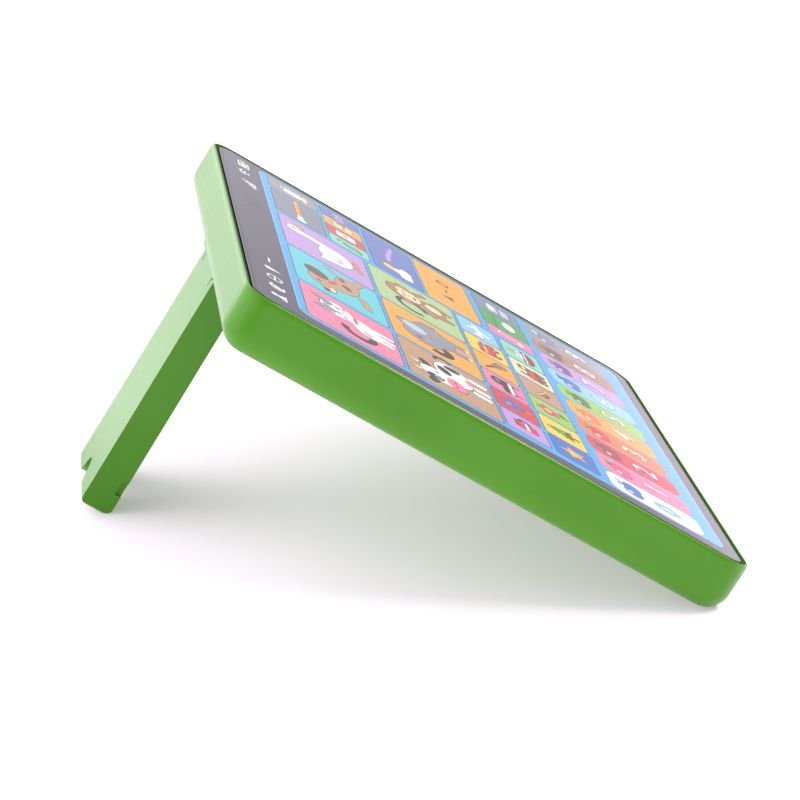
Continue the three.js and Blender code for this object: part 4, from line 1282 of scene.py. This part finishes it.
class TABLET_OT_status_icons(Operator):
    """Plain white status marks along the top border of the screen"""

    bl_idname = "toy_tablet.status_icons"
    bl_label = "Status Icons"

    def execute(self, context):
        row = (5.4, 17.8)
        with printing("icons_left", (10, 67.6, *row)) as pen:
            pen.wedge("white", -4.0, -0.24, 0.62, 0.5)
            pen.oval("white", -4.0, 0.36, 0.24, 0.22)
            pen.arc("white", -2.0, 0.0, 0.46, 0.2, 30, 300)
            pen.oval("white", -2.0, 0.0, 0.2, 0.3, -30)
            pen.arc("white", 0.0, 0.0, 0.5, 0.12, 0, 359)
            pen.bar("white", 0.0, 0.0, 0.5, 0.06)
            pen.oval("white", 2.0, 0.26, 0.28, 0.3)
            pen.wedge("white", 2.0, -0.16, 0.28, 0.46, 180)
            pen.bar("white", 4.1, 0.06, 0.5, 0.07)
        with printing("icons_right", (185, 229, *row)) as pen:
            for step in range(4):
                pen.bar("white", -3.4 + step * 0.34, -0.42 + step * 0.12, 0.11, 0.16 + step * 0.13, 0, 0.1)
            for ring in (0.3, 0.62, 0.94):
                pen.arc("white", 0.2, -0.5, ring, 0.16, 45, 135)
            pen.bar("white", 2.7, 0.0, 0.86, 0.44, 0, 0.2)
            pen.bar("black", 2.7, 0.0, 0.74, 0.32, 0, 0.2)
            pen.bar("white", 2.56, 0.0, 0.5, 0.24, 0, 0.1)
            pen.bar("white", 3.68, 0.0, 0.1, 0.18, 0, 0.2)
        with printing("search_field", (151, 169, 6.6, 16.2)) as pen:
            pen.plate("field", 0, MM)
        return {"FINISHED"}


# ---------- stage ----------
FLOOR_SIZE = 14
CAMERA_LENS = 125.54
CAMERA_PLACE = Vector((-1.06977, 0.14401, 0.38060))
CAMERA_AIM = Vector((-0.00551, -0.00261, 0.04372))
CAMERA_ROLL = radians(3.97)
LIGHT_PLACE = Vector((0.1, -0.82, 0.92))
LIGHT_SIZE = (1.1, 0.22)
LIGHT_POWER = 15
SURROUND_SIDE = (0.4, 0.9, 0)
SURROUND_RANGE = {"From Min": 0.09, "From Max": 0.7, "To Min": 0.46, "To Max": 2.6}


def surround_light(tree):
    """White all round: strongest behind the tablet, weakest in front of its near side."""
    background = tree.nodes["Background"]
    background.inputs["Color"].default_value = (1, 1, 1, 1)
    direction = tree.nodes.new("ShaderNodeTexCoord")
    along = tree.nodes.new("ShaderNodeVectorMath")
    along.operation = "DOT_PRODUCT"
    along.inputs[1].default_value = SURROUND_SIDE
    ramp = tree.nodes.new("ShaderNodeMapRange")
    for name, value in SURROUND_RANGE.items():
        ramp.inputs[name].default_value = value
    tree.links.new(direction.outputs["Generated"], along.inputs[0])
    tree.links.new(along.outputs["Value"], ramp.inputs["Value"])
    tree.links.new(ramp.outputs["Result"], background.inputs["Strength"])


def overhead_light():
    """A soft white panel above and in front of the tablet, turned to its foot."""
    data = bpy.data.lights.new("overhead", "AREA")
    data.shape = "RECTANGLE"
    data.size, data.size_y = LIGHT_SIZE
    data.energy = LIGHT_POWER
    lamp = bpy.data.objects.new("overhead", data)
    bpy.context.collection.objects.link(lamp)
    lamp.location = LIGHT_PLACE
    lamp.rotation_euler = (-LIGHT_PLACE).to_track_quat("-Z", "Y").to_euler()


def floor_paper():
    """White paper with a little glow. Its tint offsets the green that the tray throws on it."""
    material = new_material("floor_paper", (0.91, 0.8, 0.94), 0.6)
    clouds = noise_on(material, 3, 2)
    paper = blend_colours(material, clouds, (0.9, 0.79, 0.93), (0.92, 0.81, 0.95))
    wire_to(material, paper, "Base Color")
    shader = material.node_tree.nodes["Principled BSDF"]
    shader.inputs["Emission Color"].default_value = (1, 0.9, 1, 1)
    shader.inputs["Emission Strength"].default_value = 0.3
    return material


def add_camera():
    lens = bpy.data.cameras.new("camera")
    lens.lens = CAMERA_LENS
    lens.clip_start = 0.01
    camera = bpy.data.objects.new("camera", lens)
    bpy.context.collection.objects.link(camera)
    camera.location = CAMERA_PLACE
    look = (CAMERA_AIM - CAMERA_PLACE).to_track_quat("-Z", "Y").to_matrix()
    camera.rotation_euler = (look @ Matrix.Rotation(CAMERA_ROLL, 3, "Z")).to_euler()
    return camera


class TABLET_OT_stage(Operator):
    """White floor, soft light and the camera"""

    bl_idname = "toy_tablet.stage"
    bl_label = "Stage"

    def execute(self, context):
        bpy.ops.object.select_all(action="DESELECT")
        bpy.ops.mesh.primitive_plane_add(size=FLOOR_SIZE, location=(0, 0, 0))
        floor = context.object
        floor.name = "floor"
        dress(floor, floor_paper())

        world = bpy.data.worlds.new("studio")
        world.use_nodes = True
        surround_light(world.node_tree)
        context.scene.world = world
        overhead_light()
        context.scene.camera = add_camera()
        context.scene.view_settings.view_transform = "Standard"
        return {"FINISHED"}


class TABLET_PT_panel(Panel):
    bl_label = "Toy Tablet"
    bl_idname = "TABLET_PT_panel"
    bl_space_type = "VIEW_3D"
    bl_region_type = "UI"
    bl_category = "Toy Tablet"

    def draw(self, context):
        for group in (context.scene.tablet_sizes, context.scene.tablet_colours):
            for name in group.__annotations__:
                self.layout.prop(group, name)
        for step in STEPS:
            self.layout.operator(step.bl_idname)


STEPS = (
    TABLET_OT_finishes,
    TABLET_OT_tray,
    TABLET_OT_leg,
    TABLET_OT_battery_door,
    TABLET_OT_cells,
    TABLET_OT_switch_knob,
    TABLET_OT_surround,
    TABLET_OT_screen_sheet,
    TABLET_OT_screen_ground,
    TABLET_OT_animal_keys,
    TABLET_OT_small_keys,
    TABLET_OT_side_keys,
    TABLET_OT_digit_keys,
    TABLET_OT_status_icons,
    TABLET_OT_stage,
)
CLASSES = (TabletSizes, TabletColours, *STEPS, TABLET_PT_panel)


def register():
    for cls in CLASSES:
        bpy.utils.register_class(cls)
    bpy.types.Scene.tablet_sizes = PointerProperty(type=TabletSizes)
    bpy.types.Scene.tablet_colours = PointerProperty(type=TabletColours)


def unregister():
    del bpy.types.Scene.tablet_colours
    del bpy.types.Scene.tablet_sizes
    for cls in reversed(CLASSES):
        bpy.utils.unregister_class(cls)


def main():
    register()
    for step in STEPS:
        group, name = step.bl_idname.split(".")
        getattr(getattr(bpy.ops, group), name)()


if __name__ == "__main__":
    main()
